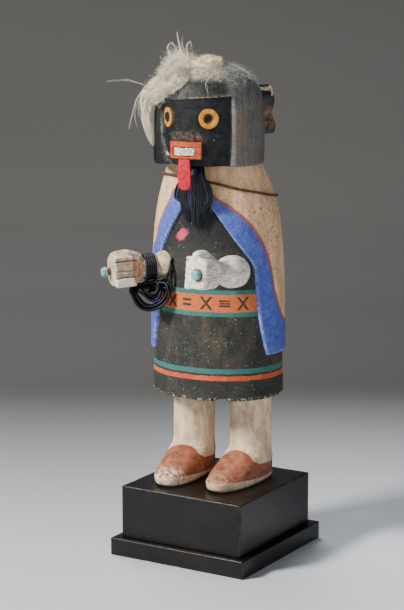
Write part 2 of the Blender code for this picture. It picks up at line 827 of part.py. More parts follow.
def build_yarn(arm, dress, cape):
    band_yarn = new_material("black yarn round the wrist", (0.006, 0.006, 0.010), 0.35)
    hank_yarn = new_material("black yarn of the hank", (0.006, 0.006, 0.010), 0.35)
    inner = part(ARM["right"][5]) + TOUCH_GAP
    outer = inner + YARN_BAND_THICKNESS
    middle = part(WRIST_FROM + WRIST_TO) / 2.0
    low = middle - YARN_BAND_WIDTH / 2.0
    high = middle + YARN_BAND_WIDTH / 2.0
    round_edge = YARN_BAND_THICKNESS * YARN_EDGE_SHARE
    profile = (
        (inner, low),
        (outer - round_edge, low),
        (outer, low + round_edge),
        (outer, high - round_edge),
        (outer - round_edge, high),
        (inner, high),
    )
    ring = ring_mesh("wrist_yarn", profile, YARN_SIDES)
    band = add_piece("wrist_yarn", ring, PIECES, arm, band_yarn)
    band.rotation_euler = (radians(90.0), 0.0, 0.0)
    half = HANK_THICKNESS / 2.0
    centre_x = sum(x for x, height in HANK) / len(HANK)
    centre_z = sum(height for x, height in HANK) / len(HANK)
    rings = []
    for side, share in HANK_SWELL:
        ring = []
        for x, height in HANK:
            across = centre_x + (x - centre_x) * share
            level = centre_z + (height - centre_z) * share
            ring.append(Vector((half * side, -part(across), part(level))))
        rings.append(ring)
    hank = add_piece("yarn_hank", loft("yarn_hank", rings), PIECES, PLACE, hank_yarn)
    hank.location = part(HANK_X, HANK_Y, 0.0)
    hank.rotation_euler = (0.0, 0.0, HANK_TURN)
    for fit in (dress, cape):
        combine(hank, fit, "DIFFERENCE")
    arm_fit = add_cutter("right_arm_fit", loft("right_arm_fit", arm_rings("right", HANK_ARM_GAP)), arm)
    combine(hank, arm_fit, "DIFFERENCE")
    band_radius = outer + TOUCH_GAP
    band_profile = ((band_radius, low - TOUCH_GAP), (band_radius, high + TOUCH_GAP))
    band_form = turned_mesh("wrist_yarn_fit", band_profile, YARN_SIDES)
    band_fit = add_cutter("wrist_yarn_fit", band_form, arm)
    band_fit.rotation_euler = (radians(90.0), 0.0, 0.0)
    combine(hank, band_fit, "DIFFERENCE")


def ring_mesh(name, profile, sides):
    """Ring turned about Z from a closed profile of (radius, height)."""
    mesh = bpy.data.meshes.new(name)
    work = bmesh.new()
    columns = []
    for index in range(sides):
        angle = 2.0 * pi * index / sides
        columns.append([work.verts.new((r * cos(angle), r * sin(angle), z)) for r, z in profile])
    for index, column in enumerate(columns):
        following = columns[(index + 1) % sides]
        for row in range(len(profile)):
            after = (row + 1) % len(profile)
            work.faces.new((column[row], following[row], following[after], column[after]))
    bmesh.ops.recalc_face_normals(work, faces=work.faces)
    work.to_mesh(mesh)
    work.free()
    smooth(mesh)
    return mesh


# Arms and stones
def arm_rings(side, grow=0.0):
    wrist = part(ARM[side][5]) + grow
    hand_from = part(WRIST_TO)
    length = part(ARM[side][6])
    rings = []
    for station, radius in FOREARM:
        round_ring = ellipse(part(radius) + grow, part(radius) + grow, 0.0, LIMB_SIDES)
        rings.append(upright(round_ring, part(station)))
    for station in (WRIST_FROM, WRIST_TO):
        rings.append(upright(ellipse(wrist, wrist, 0.0, LIMB_SIDES), part(station)))
    for share, half_width, half_height in HAND:
        power = HAND_POWER if share > HAND[0][0] else HAND_ROOT_POWER
        ring = ellipse(part(half_width) + grow, part(half_height) + grow, 0.0, LIMB_SIDES, power=power)
        rings.append(upright(ring, hand_from + share * length))
    return rings


def build_arm(side, dress, cape):
    chalk = new_material("white chalk paint " + side, (0.62, 0.60, 0.54), 0.85)
    x, y, height = part(*ARM[side][:3])
    turn, rise = ARM[side][3:5]
    arm = add_piece(side + "_arm", loft(side + "_arm", arm_rings(side)), PIECES, PLACE, chalk)
    arm.location = (x, y, height)
    arm.rotation_euler = (-rise, 0.0, turn)
    hand_from = part(WRIST_TO)
    length = part(ARM[side][6])
    inward = -1.0 if side == "left" else 1.0
    palm_low = hand_from + PALM_SPAN[0] * length
    palm_high = hand_from + PALM_SPAN[1] * length
    palm_size = (part(2.0 * PALM_SINK), palm_high - palm_low, part(2.0 * PALM_HALF))
    palm_place = (inward * part(HAND[1][1]), -(palm_low + palm_high) / 2.0, 0.0)
    palm_box = box_mesh("palm_" + side, palm_size, palm_place, part(PALM_BEVEL), 1)
    palm = add_cutter("palm_" + side, palm_box, arm)
    combine(arm, palm, "DIFFERENCE")
    finger_high = hand_from + FINGER_END * length
    finger_depth = part(2.0 * (FINGER_PROUD + FINGER_ROOT))
    finger_height = part(2.0 * FINGER_HALF + FINGER_OVERLAP)
    size = (finger_depth, finger_high - palm_high, finger_height)
    reach = part(HAND[1][1] + FINGER_PROUD) - finger_depth / 2.0
    for index in range(FINGERS):
        level = part(FINGER_HALF) * (2.0 * index - FINGERS + 1.0)
        place = (inward * reach, -(palm_high + finger_high) / 2.0, level)
        name = "finger_%s_%d" % (side, index)
        finger = add_cutter(name, box_mesh(name, size, place, part(FINGER_BEVEL), 1), arm)
        combine(arm, finger, "UNION")
    rings = []
    for share, half_width, half_height in THUMB:
        level = part(ARM[side][7] - THUMB_DROP * max(0.0, 1.0 - share / THUMB[2][0]))
        centre = (inward * part(THUMB_INWARD), level)
        ring = ellipse(part(half_width), part(half_height), 0.0, THUMB_SIDES, centre)
        rings.append(upright(ring, hand_from + share * length))
    combine(arm, add_cutter("thumb_" + side, loft("thumb_" + side, rings), arm), "UNION")
    combine(arm, dress, "DIFFERENCE")
    combine(arm, cape, "DIFFERENCE")
    return arm


def build_stone(side, arm):
    turquoise = new_material("turquoise " + side, (0.07, 0.42, 0.38), 0.3)
    radius = STONE_DIAMETER / 2.0
    peg = STONE_PEG[side]
    profile = [(radius * across, peg + STONE_THICKNESS * along) for across, along in STONE]
    if peg > 0.0:
        peg_radius = radius * STONE_PEG_SHARE
        profile = [(peg_radius, 0.0), (peg_radius, peg)] + profile
    name = "turquoise_" + side
    stone = add_piece(name, turned_mesh(name, profile, STONE_SIDES), PIECES, arm, turquoise)
    stone.location = (0.0, -(part(WRIST_TO + ARM[side][6]) + TOUCH_GAP), 0.0)
    stone.rotation_euler = (radians(90.0), 0.0, 0.0)


# Display stand
def build_stand():
    block_black = new_material("black lacquered wood of the block", (0.022, 0.020, 0.020), 0.28)
    plinth_black = new_material("black lacquered wood of the plinth", (0.022, 0.020, 0.020), 0.28)
    block_size = (BLOCK_WIDTH, BLOCK_DEPTH, BLOCK_HEIGHT)
    block_place = (0.0, 0.0, PLINTH_HEIGHT + TOUCH_GAP + BLOCK_HEIGHT / 2.0)
    block = box_mesh("stand_block", block_size, block_place, STAND_EDGE)
    add_piece("stand_block", block, PIECES, None, block_black)
    plinth_width = BLOCK_WIDTH + 2.0 * PLINTH_MARGIN
    plinth_depth = BLOCK_DEPTH + 2.0 * PLINTH_MARGIN
    plinth_size = (plinth_width, plinth_depth, PLINTH_HEIGHT)
    plinth_place = (0.0, 0.0, PLINTH_HEIGHT / 2.0)
    plinth = box_mesh("stand_plinth", plinth_size, plinth_place, STAND_EDGE)
    add_piece("stand_plinth", plinth, PIECES, None, plinth_black)


clear_scene()
PIECES = new_collection("kachina_doll")
CUTTERS = new_collection("cutters")
PLACE = bpy.data.objects.new("figure_place", None)
PIECES.objects.link(PLACE)
PLACE.location = (FIGURE_X, FIGURE_Y, PLINTH_HEIGHT + BLOCK_HEIGHT + 2.0 * TOUCH_GAP)
PLACE.rotation_euler = (0.0, 0.0, FIGURE_TURN)

build_stand()
build_figure()
MASK_FIT = add_cutter("mask_fit", mask_mesh("mask_fit", TOUCH_GAP), PLACE)
HAIR_FIT = add_cutter("hair_fit", hair_mesh("hair_fit", TOUCH_GAP), PLACE)
DRESS_FIT = add_cutter("dress_fit", dress_mesh("dress_fit", TOUCH_GAP), PLACE)
CAPE_FIT = add_cutter("cape_fit", cape_mesh("cape_fit", TOUCH_GAP), PLACE)
build_mouth(MASK_FIT)
build_tongue()
build_eyes(MASK_FIT)
build_beard()
build_bobbin(HAIR_FIT)
build_fur(HAIR_FIT)
build_cord()
RIGHT_ARM = build_arm("right", DRESS_FIT, CAPE_FIT)
LEFT_ARM = build_arm("left", DRESS_FIT, CAPE_FIT)
build_yarn(RIGHT_ARM, DRESS_FIT, CAPE_FIT)
build_stone("right", RIGHT_ARM)
build_stone("left", LEFT_ARM)
bpy.context.view_layer.update()
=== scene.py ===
"""Looks of the carved kachina doll on its display stand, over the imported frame.

Lengths in tables and calls are millimetres in the figure's own frame: its origin is on the
stand's top, it faces -Y, its left side is +X. FIGURE_PLACE puts that frame on the stand.
"""

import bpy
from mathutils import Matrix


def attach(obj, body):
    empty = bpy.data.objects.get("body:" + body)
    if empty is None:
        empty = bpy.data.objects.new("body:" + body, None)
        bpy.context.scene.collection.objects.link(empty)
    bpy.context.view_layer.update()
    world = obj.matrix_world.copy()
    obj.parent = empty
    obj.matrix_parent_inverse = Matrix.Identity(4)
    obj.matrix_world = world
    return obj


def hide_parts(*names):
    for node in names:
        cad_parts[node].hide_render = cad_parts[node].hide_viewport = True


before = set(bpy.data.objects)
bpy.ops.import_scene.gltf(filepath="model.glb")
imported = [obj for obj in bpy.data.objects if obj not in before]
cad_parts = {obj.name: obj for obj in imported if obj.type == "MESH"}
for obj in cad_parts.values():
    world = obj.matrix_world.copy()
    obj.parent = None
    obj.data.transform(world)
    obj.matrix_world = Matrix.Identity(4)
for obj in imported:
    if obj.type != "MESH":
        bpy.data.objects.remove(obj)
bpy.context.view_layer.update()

from math import cos, pi, radians, sin

import bmesh
import bpy
import numpy as np
from mathutils import Matrix, Vector

FIGURE_PLACE = Matrix.Translation((-0.0037, 0.0082, 0.0542)) @ Matrix.Rotation(radians(7.5), 4, "Z")

# Repeated from the part's source, in millimetres
DRESS = (
    (68.9, 50.2, 41.0, 0.0), (70.4, 51.2, 42.0, 0.0), (88.0, 50.6, 41.6, 0.0), (115.0, 50.0, 41.0, 0.0),
    (145.0, 49.6, 40.6, 0.0), (171.0, 48.6, 39.8, 0.0), (195.0, 46.8, 38.0, 0.3), (212.0, 44.2, 35.8, 1.2),
    (224.0, 41.2, 32.6, 2.6), (236.0, 37.0, 28.6, 4.6), (250.0, 32.0, 23.6, 8.0),
)
CAPE = (
    (103.0, -53.0, 66.5), (115.0, -50.0, 62.0), (132.0, -46.0, 57.5), (152.0, -43.5, 54.5),
    (170.0, -42.5, 52.7),
    (181.0, -40.0, 43.5), (192.0, -33.0, 33.0), (203.0, -25.0, 23.5), (212.0, -17.0, 15.5),
    (220.0, -7.0, 6.0),
    (226.0, -0.6, 0.6), (250.0, -0.6, 0.6),
)
CAPE_PROUD = 2.6
HEAD = (
    (246.0, 41.0), (271.0, 41.3), (287.0, 40.4), (296.5, 38.4), (303.5, 35.0), (309.0, 31.0), (313.3, 26.0),
    (316.5, 19.0), (318.4, 11.0), (319.0, 4.0),
)
HEAD_FORWARD = 17.7
HEAD_TURN = radians(-2.5)
MASK_RADIUS = 36.6
JAW = ((226.0, 29.5), (246.0, 32.0), (255.0, 35.4), (263.0, 36.6), (300.0, 36.6))
FACE_RIGHT, FACE_LEFT = radians(-43.0), radians(51.0)
LOCK_GROOVES = (radians(-57.5), radians(64.0))
EYE_ANGLE = radians(26.0)
ARM = {
    "right": (-26.3, -23.1, 168.4, radians(-48.4), radians(-4.0), 7.8, 24.7, 11.6),
    "left": (30.0, -40.0, 168.7, radians(-14.0), radians(5.6), 8.7, 20.8, 12.8),
}
WRIST_FROM, WRIST_TO = 14.2, 25.2
FOREARM = {
    "right": (
        (-10.4, 6.5), (-10.0, 8.8), (-8.4, 10.8), (-4.0, 11.9), (4.0, 12.0), (8.8, 11.2), (12.2, 9.4),
        (14.2, None),
        (25.2, None),
    ),
    "left": (
        (-11.4, 3.4), (-10.0, 6.6), (-6.6, 9.9), (-2.0, 11.8), (4.0, 12.0), (8.8, 11.2), (12.2, 9.4),
        (14.2, None),
        (25.2, None),
    ),
}
HANK_PLACE = (-26.0, -40.4)
HANK_TURN = radians(-68.2)
CORD_AT, CORD_TILT, CORD_HIGH = 228.0, 8.8, radians(-45.0)

RANDOM = np.random.default_rng(11)
LATTICE = RANDOM.random((32, 32, 32))


# Numbers
def curve_at(table, column, at):
    """Smooth value of a table's column, with no overshoot between its rows."""
    rows = np.array(sorted(table), float)
    x, y = rows[:, 0], rows[:, column]
    step = np.diff(x)
    slope = np.diff(y) / step
    tangent = np.zeros_like(y)
    agree = slope[:-1] * slope[1:] > 0
    pair = slope[:-1] + slope[1:]
    tangent[1:-1][agree] = (2 * slope[:-1] * slope[1:])[agree] / pair[agree]
    tangent[0], tangent[-1] = slope[0], slope[-1]
    at = np.clip(np.asarray(at, float), x[0], x[-1])
    i = np.clip(np.searchsorted(x, at, side="right") - 1, 0, len(x) - 2)
    t = (at - x[i]) / step[i]
    a, b = y[i], y[i + 1]
    m, n = tangent[i] * step[i], tangent[i + 1] * step[i]
    return a + t * m + t * t * (3 * (b - a) - 2 * m - n) + t ** 3 * (2 * (a - b) + m + n)


def value_noise(points, size, seed=0.0):
    """Smooth noise from -1 to 1 with features of that size in millimetres."""
    p = np.asarray(points, float) / size + 7.31 * seed + 100.0
    cell = np.floor(p).astype(int)
    f = p - cell
    f = f * f * (3 - 2 * f)
    total = 0.0
    for dx in (0, 1):
        for dy in (0, 1):
            for dz in (0, 1):
                weight = (
                    (f[..., 0] if dx else 1 - f[..., 0])
                    * (f[..., 1] if dy else 1 - f[..., 1])
                    * (f[..., 2] if dz else 1 - f[..., 2])
                )
                total = total + weight * LATTICE[
                    (cell[..., 0] + dx) % 32, (cell[..., 1] + dy) % 32, (cell[..., 2] + dz) % 32
                ]
    return 2 * total - 1


def fractal(points, size, seed=0.0, octaves=3):
    total = 0.0
    for octave in range(octaves):
        total = total + value_noise(points, size / 2 ** octave, seed + octave) / 2 ** octave
    return total / (2 - 2 ** (1 - octaves))


def smoothstep(low, high, value):
    t = np.clip((value - low) / (high - low), 0, 1)
    return t * t * (3 - 2 * t)


def signed_power(value, power):
    return np.sign(value) * np.abs(value) ** (2.0 / power)


def spline_through(points, spacing):
    """Points at an even spacing on a smooth curve through the given ones."""
    p = np.array(points, float)
    chord = np.sqrt(np.maximum(np.linalg.norm(np.diff(p, axis=0), axis=1), 1e-6))
    knots = np.concatenate(([0], np.cumsum(chord)))
    ends = np.vstack((2 * p[0] - p[1], p, 2 * p[-1] - p[-2]))
    k = np.concatenate(([knots[0] - chord[0]], knots, [knots[-1] + chord[-1]]))
    out = []
    for i in range(1, len(ends) - 2):
        t = np.linspace(k[i], k[i + 1], 24, endpoint=False)[:, None]
        a1 = (k[i] - t) / (k[i] - k[i - 1]) * ends[i - 1] + (t - k[i - 1]) / (k[i] - k[i - 1]) * ends[i]
        a2 = (k[i + 1] - t) / (k[i + 1] - k[i]) * ends[i] + (t - k[i]) / (k[i + 1] - k[i]) * ends[i + 1]
        a3 = (
            (k[i + 2] - t) / (k[i + 2] - k[i + 1]) * ends[i + 1] + (t - k[i + 1]) / (k[i + 2] - k[i + 1])
            * ends[i + 2]
        )
        b1 = (k[i + 1] - t) / (k[i + 1] - k[i - 1]) * a1 + (t - k[i - 1]) / (k[i + 1] - k[i - 1]) * a2
        b2 = (k[i + 2] - t) / (k[i + 2] - k[i]) * a2 + (t - k[i]) / (k[i + 2] - k[i]) * a3
        out.append((k[i + 1] - t) / (k[i + 1] - k[i]) * b1 + (t - k[i]) / (k[i + 1] - k[i]) * b2)
    fine = np.vstack(out + [p[-1:]])
    along = np.concatenate(([0], np.cumsum(np.linalg.norm(np.diff(fine, axis=0), axis=1))))
    count = max(2, int(round(along[-1] / spacing)) + 1)
    want = np.linspace(0, along[-1], count)
    return np.stack([np.interp(want, along, fine[:, axis]) for axis in range(3)], axis=1)


def path_length(points):
    return float(np.linalg.norm(np.diff(points, axis=0), axis=1).sum())


def matrix_rows(matrix):
    return np.array([list(row) for row in matrix])


def moved(points, matrix):
    """Points in metres through a 4x4 matrix."""
    m = matrix_rows(matrix)
    return points @ m[:3, :3].T + m[:3, 3]


# Meshes
def grid_faces(rows, columns, closed=False, first=0):
    r = np.arange(rows - 1)[:, None]
    c = np.arange(columns if closed else columns - 1)[None, :]
    a = r * columns + c
    b = r * columns + (c + 1) % columns
    return (np.stack((a, b, b + columns, a + columns), axis=-1).reshape(-1, 4) + first).tolist()


def fan(ring, centre, flip=False):
    """Triangles from a ring of vertex numbers to one vertex."""
    faces = []
    for index, vertex in enumerate(ring):
        following = ring[(index + 1) % len(ring)]
        faces.append((following, vertex, centre) if flip else (vertex, following, centre))
    return faces


def add_mesh(name, vertices, faces, material, attributes=None, smooth=True, matrix=FIGURE_PLACE):
    """A piece from vertices in millimetres."""
    mesh = bpy.data.meshes.new(name)
    mesh.from_pydata((np.asarray(vertices, float) / 1000.0).tolist(), [], faces)
    for key, values in (attributes or {}).items():
        store = mesh.attributes.new(key, "FLOAT", "POINT")
        store.data.foreach_set("value", np.ascontiguousarray(values, dtype=np.float32).ravel())
    if smooth:
        mesh.shade_smooth()
    mesh.materials.append(material)
    work = bmesh.new()
    work.from_mesh(mesh)
    bmesh.ops.recalc_face_normals(work, faces=work.faces)
    work.to_mesh(mesh)
    work.free()
    piece = bpy.data.objects.new(name, mesh)
    bpy.context.scene.collection.objects.link(piece)
    piece.matrix_world = matrix
    return piece


def fit_piece(piece, nodes=()):
    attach(piece, "root")
    if nodes:
        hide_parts(*nodes)
    return piece


def tube(points, radius, sides, closed=False, plies=0, pitch=5.0, depth=0.18, taper=None):
    """Rings of a tube through points; plies give it twisted strands. Returns vertices and faces."""
    p = np.asarray(points, float)
    count = len(p)
    if closed:
        tangent = np.roll(p, -1, axis=0) - np.roll(p, 1, axis=0)
    else:
        tangent = np.gradient(p, axis=0)
    tangent /= np.linalg.norm(tangent, axis=1)[:, None]
    side = np.cross(tangent[0], (0, 0, 1.0))
    if np.linalg.norm(side) < 0.1:
        side = np.cross(tangent[0], (1.0, 0, 0))
    sides_of = [side / np.linalg.norm(side)]
    for index in range(1, count):
        v = sides_of[-1] - np.dot(sides_of[-1], tangent[index]) * tangent[index]
        sides_of.append(v / np.linalg.norm(v))
    u = np.array(sides_of)
    w = np.cross(tangent, u)
    along = np.concatenate(([0], np.cumsum(np.linalg.norm(np.diff(p, axis=0), axis=1))))
    angle = 2 * pi * np.arange(sides) / sides
    swing = angle[None, :] * np.ones((count, 1))
    r = np.full((count, sides), float(radius))
    if plies:
        whole = max(1, round(along[-1] / pitch)) if closed else along[-1] / pitch
        turn = 2 * pi * whole * along / along[-1] / plies
        lobes = np.abs(np.cos(plies * (swing - turn[:, None]) / 2.0))
        r = radius * (1 - depth + depth * 1.25 * lobes)
    if taper is not None:
        r = r * np.asarray(taper)[:, None]
    ring = (
        p[:, None, :]
        + r[..., None] * (np.cos(swing)[..., None] * u[:, None, :] + np.sin(swing)[..., None] * w[:, None, :])
    )
    vertices = ring.reshape(-1, 3)
    if closed:
        faces = []
        # the last ring meets the first where its side vectors come closest
        gap = np.arctan2(np.dot(u[-1], w[0]), np.dot(u[-1], u[0]))
        shift = int(round(gap / (2 * pi / sides)))
        for index in range(count):
            after = (index + 1) % count
            skip = shift if index == count - 1 else 0
            for k in range(sides):
                k2 = (k + 1) % sides
                faces.append((
                    index * sides + k, index * sides + k2,
                    after * sides + (k2 + skip) % sides, after * sides + (k + skip) % sides,
                ))
        return vertices, faces
    faces = grid_faces(count, sides, closed=True)
    start = len(vertices)
    vertices = np.vstack((vertices, p[:1], p[-1:]))
    faces += fan(list(range(sides)), start, flip=True)
    faces += fan(list(range((count - 1) * sides, count * sides)), start + 1)
    return vertices, faces


def joined(parts):
    """Several (vertices, faces) as one."""
    vertices, faces, first = [], [], 0
    for v, f in parts:
        vertices.append(v)
        faces += [tuple(i + first for i in face) for face in f]
        first += len(v)
    return np.vstack(vertices), faces


# Materials
def srgb(code, alpha=1.0):
    """Linear colour from a six-digit sRGB code."""
    channels = []
    for start in (1, 3, 5):
        value = int(code[start:start + 2], 16) / 255.0
        channels.append(value / 12.92 if value <= 0.04045 else ((value + 0.055) / 1.055) ** 2.4)
    return (*channels, alpha)


class Paint:
    """A Principled material and the nodes that feed it."""

    def __init__(self, name, roughness=0.6, **sockets):
        self.material = bpy.data.materials.new(name)
        self.material.use_nodes = True
        self.tree = self.material.node_tree
        self.shader = self.tree.nodes["Principled BSDF"]
        self.shader.inputs["Roughness"].default_value = roughness
        for key, value in sockets.items():
            self.shader.inputs[key.replace("_", " ")].default_value = value
        self.place = self.tree.nodes.new("ShaderNodeTexCoord").outputs["Object"]
        self.split = None

    def feed(self, target, value):
        if isinstance(value, bpy.types.NodeSocket):
            self.tree.links.new(value, target)
        else:
            target.default_value = value

    def set(self, name, value):
        self.feed(self.shader.inputs[name], value)

    def axis(self, letter):
        if self.split is None:
            self.split = self.tree.nodes.new("ShaderNodeSeparateXYZ")
            self.feed(self.split.inputs[0], self.place)
        return self.times(self.split.outputs["XYZ".index(letter)], 1000.0)

    def math(self, operation, *values):
        node = self.tree.nodes.new("ShaderNodeMath")
        node.operation = operation
        for target, value in zip(node.inputs, values):
            self.feed(target, value)
        return node.outputs[0]

    def plus(self, first, second):
        return self.math("ADD", first, second)

    def minus(self, first, second):
        return self.math("SUBTRACT", first, second)

    def times(self, first, second):
        return self.math("MULTIPLY", first, second)

    def size_of(self, value):
        return self.math("ABSOLUTE", value)

    def attribute(self, name):
        node = self.tree.nodes.new("ShaderNodeAttribute")
        node.attribute_name = name
        return node.outputs["Fac"]

    def coordinates(self, stretch):
        node = self.tree.nodes.new("ShaderNodeVectorMath")
        node.operation = "MULTIPLY"
        self.feed(node.inputs[0], self.place)
        node.inputs[1].default_value = stretch
        return node.outputs[0]

    def noise(self, size, detail=3.0, roughness=0.55, stretch=None, distortion=0.0):
        """Noise from 0 to 1 with features of that size in millimetres."""
        node = self.tree.nodes.new("ShaderNodeTexNoise")
        if stretch:
            self.feed(node.inputs["Vector"], self.coordinates(stretch))
        else:
            self.feed(node.inputs["Vector"], self.place)
        node.inputs["Scale"].default_value = 1000.0 / size
        node.inputs["Detail"].default_value = detail
        node.inputs["Roughness"].default_value = roughness
        node.inputs["Distortion"].default_value = distortion
        return node.outputs["Fac"]

    def spots(self, size):
        """Distance to scattered points, in shares of their spacing."""
        node = self.tree.nodes.new("ShaderNodeTexVoronoi")
        self.feed(node.inputs["Vector"], self.coordinates((1.0, 1.0, 1.0)))
        node.inputs["Scale"].default_value = 1000.0 / size
        return node.outputs["Distance"]

    def step(self, value, edge, soft=0.1):
        """From 0 below the edge to 1 above it."""
        node = self.tree.nodes.new("ShaderNodeMapRange")
        node.interpolation_type = "SMOOTHSTEP"
        self.feed(node.inputs["Value"], value)
        if isinstance(edge, bpy.types.NodeSocket):
            self.feed(node.inputs["From Min"], self.minus(edge, soft))
            self.feed(node.inputs["From Max"], self.plus(edge, soft))
        else:
            node.inputs["From Min"].default_value = edge - soft
            node.inputs["From Max"].default_value = edge + soft
        return node.outputs[0]

    def spread(self, edge, soft, size, *detail, **more):
        """Patches where noise of that size is above the edge."""
        return self.step(self.noise(size, *detail, **more), edge, soft)

    def below(self, value, edge, soft=0.1):
        return self.minus(1.0, self.step(value, edge, soft))

    def band(self, value, low, high, soft=0.1):
        return self.times(self.step(value, low, soft), self.below(value, high, soft))

    def both(self, *masks):
        out = masks[0]
        for mask in masks[1:]:
            out = self.times(out, mask)
        return out

    def either(self, *masks):
        out = masks[0]
        for mask in masks[1:]:
            out = self.math("MAXIMUM", out, mask)
        return out

    def mix(self, share, first, second):
        node = self.tree.nodes.new("ShaderNodeMix")
        node.data_type = "RGBA"
        for target, value in zip((node.inputs[0], node.inputs[6], node.inputs[7]), (share, first, second)):
            self.feed(target, srgb(value) if isinstance(value, str) else value)
        return node.outputs[2]

    def over(self, base, colour, *masks):
        """A colour laid over the base where all the masks are."""
        return self.mix(self.both(*masks), base, colour)

    def grit(self, base, pale, dark, share=0.5, size=1.0):
        """Fine pale and dark specks over a colour."""
        light = self.step(self.noise(size, 4.0, 0.8), 0.56, 0.05)
        base = self.mix(self.both(light, share), base, pale)
        deep = self.step(self.noise(1.37 * size, 4.0, 0.8), 0.57, 0.05)
        return self.mix(self.both(deep, share), base, dark)

    def bump(self, height, distance, strength=1.0):
        """Bump of a height from 0 to 1, whose full height is the distance in millimetres."""
        node = self.tree.nodes.new("ShaderNodeBump")
        node.inputs["Strength"].default_value = strength
        node.inputs["Distance"].default_value = distance / 1000.0
        self.feed(node.inputs["Height"], height)
        self.feed(self.shader.inputs["Normal"], node.outputs[0])


# Camera and lights
def build_camera():
    data = bpy.data.cameras.new("photo_camera")
    data.sensor_width = 36.0
    data.sensor_fit = "VERTICAL"
    data.sensor_height = 36.0
    data.lens = 112.13
    data.clip_start = 0.05
    data.clip_end = 20.0
    camera = bpy.data.objects.new("photo_camera", data)
    bpy.context.scene.collection.objects.link(camera)
    camera.location = (0.72505, -1.21577, 0.45901)
    camera.rotation_euler = (radians(79.256), 0.0, radians(31.263))
    bpy.context.scene.camera = camera


def area_light(name, place, target, size, power, colour=(1.0, 1.0, 1.0)):
    data = bpy.data.lights.new(name, "AREA")
    data.shape = "RECTANGLE"
    data.size, data.size_y = size
    data.energy = power
    data.color = colour
    light = bpy.data.objects.new(name, data)
    bpy.context.scene.collection.objects.link(light)
    light.location = place
    light.rotation_euler = (Vector(target) - Vector(place)).to_track_quat("-Z", "Y").to_euler()


# Painted light and shade on the dark cloth: its colour is varied along the sweep, so that it looks even from
# the camera
DARK_AT = (0.5, 1.0, 1.4, 1.75, 1.89, 2.064, 2.378)
DARK_PAINTED_LIGHT_TONE = (0.055, 0.102, 0.18, 0.27, 0.218, 0.178, 0.145)


def build_studio():
    area_light("key_light", (-0.75, -1.2, 1.15), (0.0, 0.0, 0.2), (0.34, 0.34), 66.0, (1.0, 0.96, 0.9))
    area_light("fill_light", (1.3, -0.9, 0.5), (0.0, 0.0, 0.2), (0.9, 0.9), 7.0, (0.97, 0.98, 1.0))
    area_light("top_light", (-0.5, 0.4, 1.2), (0.0, 0.0, 0.25), (0.6, 0.6), 12.0, (0.95, 0.97, 1.0))
    world = bpy.data.worlds.new("studio")
    world.use_nodes = True
    back = world.node_tree.nodes["Background"]
    back.inputs["Color"].default_value = (0.62, 0.64, 0.68, 1.0)
    back.inputs["Strength"].default_value = 0.22
    bpy.context.scene.world = world
    reach, corner = 1.75, 0.4
    profile = [(along, 0.0) for along in np.linspace(-2.2, reach, 80)]
    for index in range(1, 25):
        angle = pi / 2 * index / 24
        profile.append((reach + corner * sin(angle), corner - corner * cos(angle)))
    profile.append((reach + corner, 3.2))
    turn = radians(31.3)
    vertices = []
    for side in (-3.2, 3.2):
        for along, height in profile:
            x = side * cos(turn) - along * sin(turn)
            y = side * sin(turn) + along * cos(turn)
            vertices.append((1000 * x, 1000 * y, 1000 * height))
    count = len(profile)
    faces = [(i, i + 1, count + i + 1, count + i) for i in range(count - 1)]
    line = np.array(profile)
    route = np.concatenate(([0], np.cumsum(np.linalg.norm(np.diff(line, axis=0), axis=1)))) - 2.2
    marks = {
        "wall": np.tile(
            np.interp(
                route, (0.0, 0.124, 0.22, 0.32, 0.397, 0.481, 0.52), (0.0, 0.16, 0.34, 0.57, 0.76, 0.92, 1.0),
            ),
            2,
        ),
        "front": np.tile(1 - smoothstep(-0.75, 0.4, route), 2),
        "dark": np.tile(np.interp(route, DARK_AT, DARK_PAINTED_LIGHT_TONE), 2),
    }
    paint = Paint("studio_floor", 0.75)
    # Painted light on the floor: it is painted brighter toward the front, and brighter again toward the right
    floor = paint.mix(paint.attribute("front"), (0.35, 0.37, 0.4, 1.0), (0.6, 0.63, 0.69, 1.0))
    painted_light = paint.mix(paint.attribute("front"), (0.5, 0.53, 0.57, 1.0), (0.84, 0.88, 0.94, 1.0))
    across = paint.plus(paint.times(paint.axis("X"), 0.8545), paint.times(paint.axis("Y"), 0.5195))
    floor = paint.mix(paint.step(across, 0.0, 150.0), floor, painted_light)
    # Dark cloth: its colour carries the painted light and shade along the sweep
    dark = paint.mix(paint.attribute("dark"), (0.0, 0.0, 0.0, 1.0), (1.0, 0.99, 0.97, 1.0))
    paint.set("Base Color", paint.mix(paint.attribute("wall"), floor, dark))
    sweep = add_mesh("studio_sweep", vertices, faces, paint.material, marks, matrix=Matrix.Identity(4))


# Yarn: tucked in beside the right arm, hanging in loops under it, then wound round the wrist
YARN_DIAMETER = 2.1
YARN_TURNS = 5.11
# Loops in the hank's plane, along it and in height: the outer, the middle and the inner strands
LOOP_GUIDES = np.array((
    ((-4.4, 158.5), (-4.8, 151.5), (-3.0, 145.0), (1.2, 139.8), (6.6, 136.8), (12.8, 135.7), (18.4, 137.4),
     (22.2, 142.0), (24.2, 147.2), (25.3, 151.2)),
    ((-2.6, 158.0), (-2.6, 151.8), (-0.8, 146.2), (2.8, 141.8), (7.4, 138.9), (12.4, 138.0), (16.6, 139.7),
     (19.3, 143.4), (21.6, 147.7), (23.8, 151.4)),
    ((1.6, 157.4), (1.8, 152.8), (2.6, 148.6), (4.4, 145.0), (6.8, 142.6), (9.4, 142.0), (11.8, 143.8),
     (14.8, 147.2), (18.2, 150.0), (21.6, 151.8)),
))
# Loops in the order that the yarn makes them: place between the guides, depth in the hank, and where
# it turns over
LOOPS = (
    (0.0, 1.6, 166.0), (2.0, -1.8, 158.5), (1.0, 0.2, 160.5), (0.04, -0.6, 163.5), (2.35, 0.9, 157.5),
    (1.0, 2.4, 159.0),
    (0.0, 3.2, 162.0), (2.0, 2.6, 159.0), (1.1, -1.9, 158.5), (2.3, -0.9, 158.0), (0.1, -2.4, 160.5),
    (2.0, 0.4, 158.0),
    (2.6, 2.2, 158.0),
)


